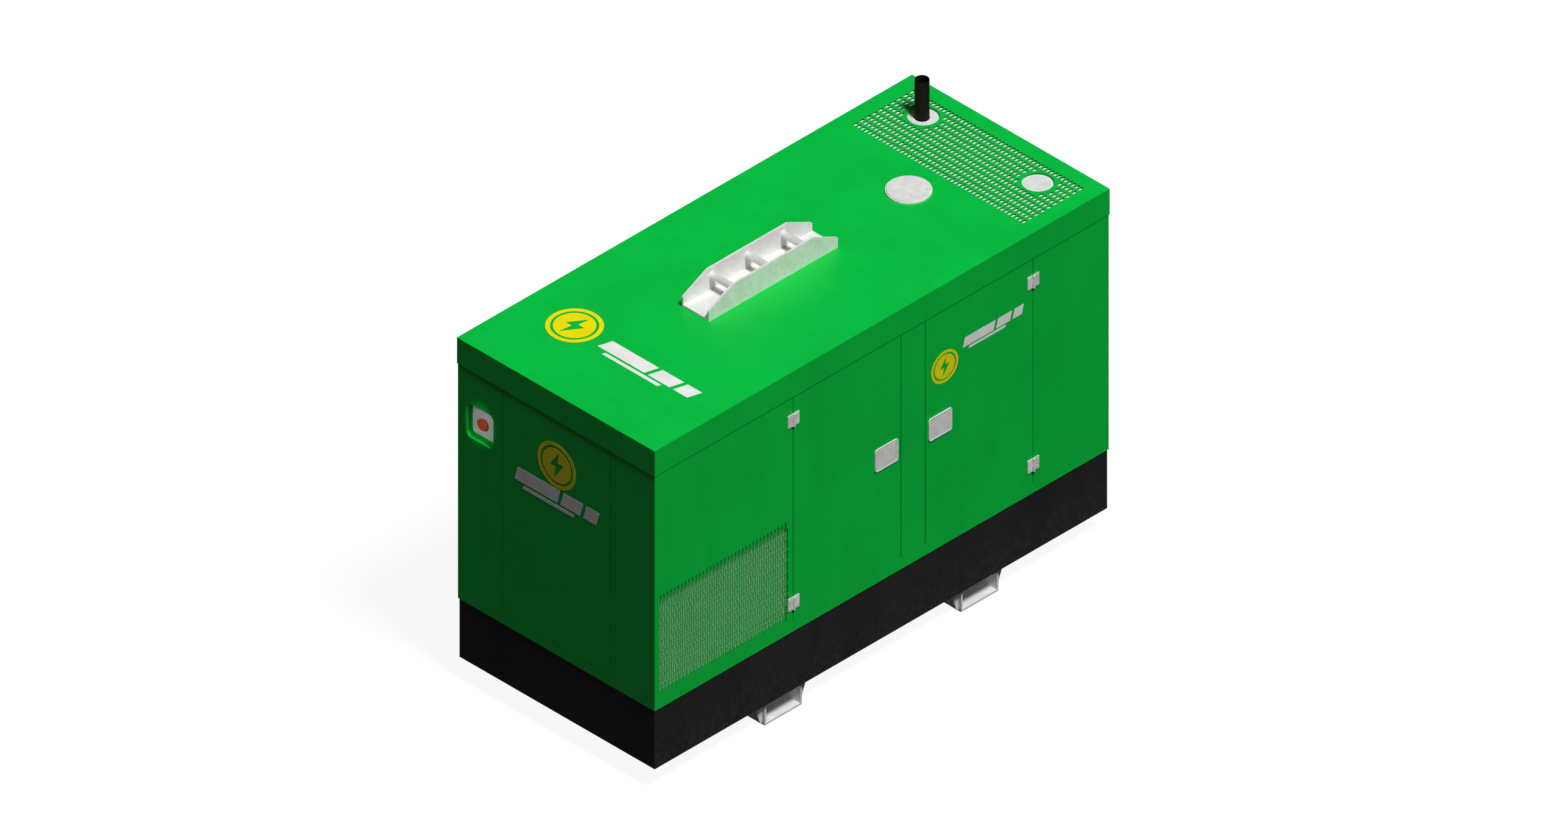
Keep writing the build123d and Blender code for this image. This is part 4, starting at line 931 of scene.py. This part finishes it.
engineLook = {
    "coverBoltInset": 18 * mm,
    "coverBoltPlaces": (0.12, 0.5, 0.88),
    "boltRadius": 8 * mm,
    "boltHeight": 6 * mm,
    "washerRadius": 11 * mm,
    "fillerShare": 0.28,
    "fillerRadius": 26 * mm,
    "fillerHeight": 20 * mm,
    "nutPlaces": (-0.150, -0.085, 0.150, 0.230),
    "manifoldUp": 0.925,
    "manifoldFace": 190 * mm,
    "washerThick": 1.6 * mm,
    "eyeRadius": 19 * mm,
    "eyeWire": 5 * mm,
    "eyeX": -0.395,
    "eyeZ": 0.900,
}


def hexBolt(shape, place, look):
    washer, thick = look["washerRadius"], look["washerThick"]
    turned(shape, [(0, 0), (washer, 0), (washer, thick), (0, thick)], place, 24)
    head = place @ Matrix.Translation((0, 0, thick - 0.1 * mm))
    radius, height = look["boltRadius"], look["boltHeight"]
    crown = [(radius, height * 0.85), (radius * 0.85, height), (0, height)]
    turned(shape, [(0, 0), (radius, 0), *crown], head, 6)


def engineFittings(look):
    low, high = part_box("rocker_cover")
    bolts = bmesh.new()
    length = high.x - low.x
    for share in look["coverBoltPlaces"]:
        for y in (low.y + look["coverBoltInset"], high.y - look["coverBoltInset"]):
            hexBolt(bolts, onTop((low.x + share * length, y, high.z)), look)
    for side in sides.values():
        for x in look["nutPlaces"]:
            hexBolt(bolts, onSide((x, side * look["manifoldFace"], look["manifoldUp"]), side), look)
    ring = ringProfile(look["eyeRadius"], look["eyeWire"])
    turned(bolts, ring, placed((look["eyeX"], 0, look["eyeZ"]), (1, 0, 0), (0, 0, 1)), 32)
    show("engineBolts", bolts, "plated_steel", "chassis", bevel=0.4 * mm)
    filler = bmesh.new()
    r, rise = look["fillerRadius"], look["fillerHeight"]
    spot = onTop((low.x + look["fillerShare"] * length, 0, high.z))
    grip = [(r, rise * 0.45), (r, rise * 0.9), (r * 0.9, rise), (0, rise)]
    turned(filler, [(0, 0), (r * 0.8, 0), (r * 0.8, rise * 0.4), *grip], spot, 14)
    show("oilFillerCap", filler, "black_plastic", "chassis", bevel=0.8 * mm)


guardLook = {
    "face": 0.4575,
    "rings": (0.066, 0.110, 0.154, 0.198, 0.242, 0.284),
    "wire": 1.8 * mm,
    "spokes": 8,
    "ringEnd": 0.5015,
}


def fanGuard(look):
    low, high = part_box("cooling_fan")
    middle = (low + high) / 2
    shape = bmesh.new()
    place = onControlEnd((look["face"], 0, middle.z))
    for radius in look["rings"]:
        turned(shape, ringProfile(radius, look["wire"], 8), place, 64)
    for index in range(look["spokes"]):
        turn = 2 * math.pi * (index + 0.5) / look["spokes"]
        across, upwards = math.cos(turn), math.sin(turn)
        inner, outer = look["rings"][0], look["rings"][-1]
        start = (look["face"], inner * across, middle.z + inner * upwards)
        end = (look["face"], outer * across, middle.z + outer * upwards)
        rodBetween(shape, start, end, look["wire"] * 1.3, 8)
        rodBetween(shape, end, (look["ringEnd"], end[1], end[2]), look["wire"] * 1.3, 8)
    show("fanGuard", shape, "stack_black", "chassis", smooth=True)


serviceLook = {
    "bandSpread": 0.200,
    "bandWidth": 30 * mm,
    "bandInner": 110.6 * mm,
    "bandOuter": 112.6 * mm,
    "hoseInner": 22.2 * mm,
    "hoseOuter": 24.2 * mm,
    "clampWidth": 12 * mm,
    "clampBack": 16 * mm,
    "hoses": ((0.105, 1.260), (-0.190, 0.530)),
    "engineClamp": (0.326, 0.105, 0.915),
    "silencer": (1.004, 0.925),
    "postHeight": 16 * mm,
    "cellCaps": 6,
    "capRadius": 10 * mm,
    "capRise": 4 * mm,
    "capSpacing": 30 * mm,
    "capRow": 48 * mm,
    "postRadius": 8.2 * mm,
    "terminals": (-0.155, 0.035),
    "terminalRadius": 14 * mm,
    "terminalRise": 11 * mm,
}


def clampsAndBands(look):
    shape = bmesh.new()
    for side in (-1, 1):
        x, z = look["silencer"]
        centre = (x, side * look["bandSpread"], z)
        bandAt(shape, centre, (0, 1, 0), look["bandInner"], look["bandOuter"], look["bandWidth"])
    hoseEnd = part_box("coolant_hoses")[1].x - look["clampBack"]
    for centre in ((hoseEnd, *look["hoses"][0]), (hoseEnd, *look["hoses"][1]), look["engineClamp"]):
        bandAt(shape, centre, (1, 0, 0), look["hoseInner"], look["hoseOuter"], look["clampWidth"])
    show("clampsAndBands", shape, "plated_steel", "chassis", bevel=0.3 * mm)


def batteryFittings(look):
    low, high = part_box("battery")
    top = high.z - look["postHeight"]
    middle = (low + high) / 2
    caps = bmesh.new()
    r, rise = look["capRadius"], look["capRise"]
    for index in range(look["cellCaps"]):
        x = middle.x + (index - (look["cellCaps"] - 1) / 2) * look["capSpacing"]
        spot = onTop((x, middle.y - look["capRow"], top))
        turned(caps, [(0, 0), (r, 0), (r, rise * 0.8), (r * 0.85, rise), (0, rise)], spot, 20)
    show("batteryCaps", caps, "decalYellow", "chassis")
    clamps = bmesh.new()
    wide, tall = look["terminalRadius"], look["terminalRise"]
    post = look["postRadius"]
    for x in look["terminals"]:
        spot = onTop((x, middle.y, top + 2 * mm))
        turned(clamps, [(post, 0), (wide, 0), (wide, tall), (post, tall)], spot, 24)
    show("batteryTerminals", clamps, "plated_steel", "chassis", bevel=0.6 * mm)


barWelds(weldLook)
controlPanel(controlLook)
estopScrews(plateLook)
engineFittings(engineLook)
fanGuard(guardLook)
clampsAndBands(serviceLook)
batteryFittings(serviceLook)
print("control panel and small fittings ready")
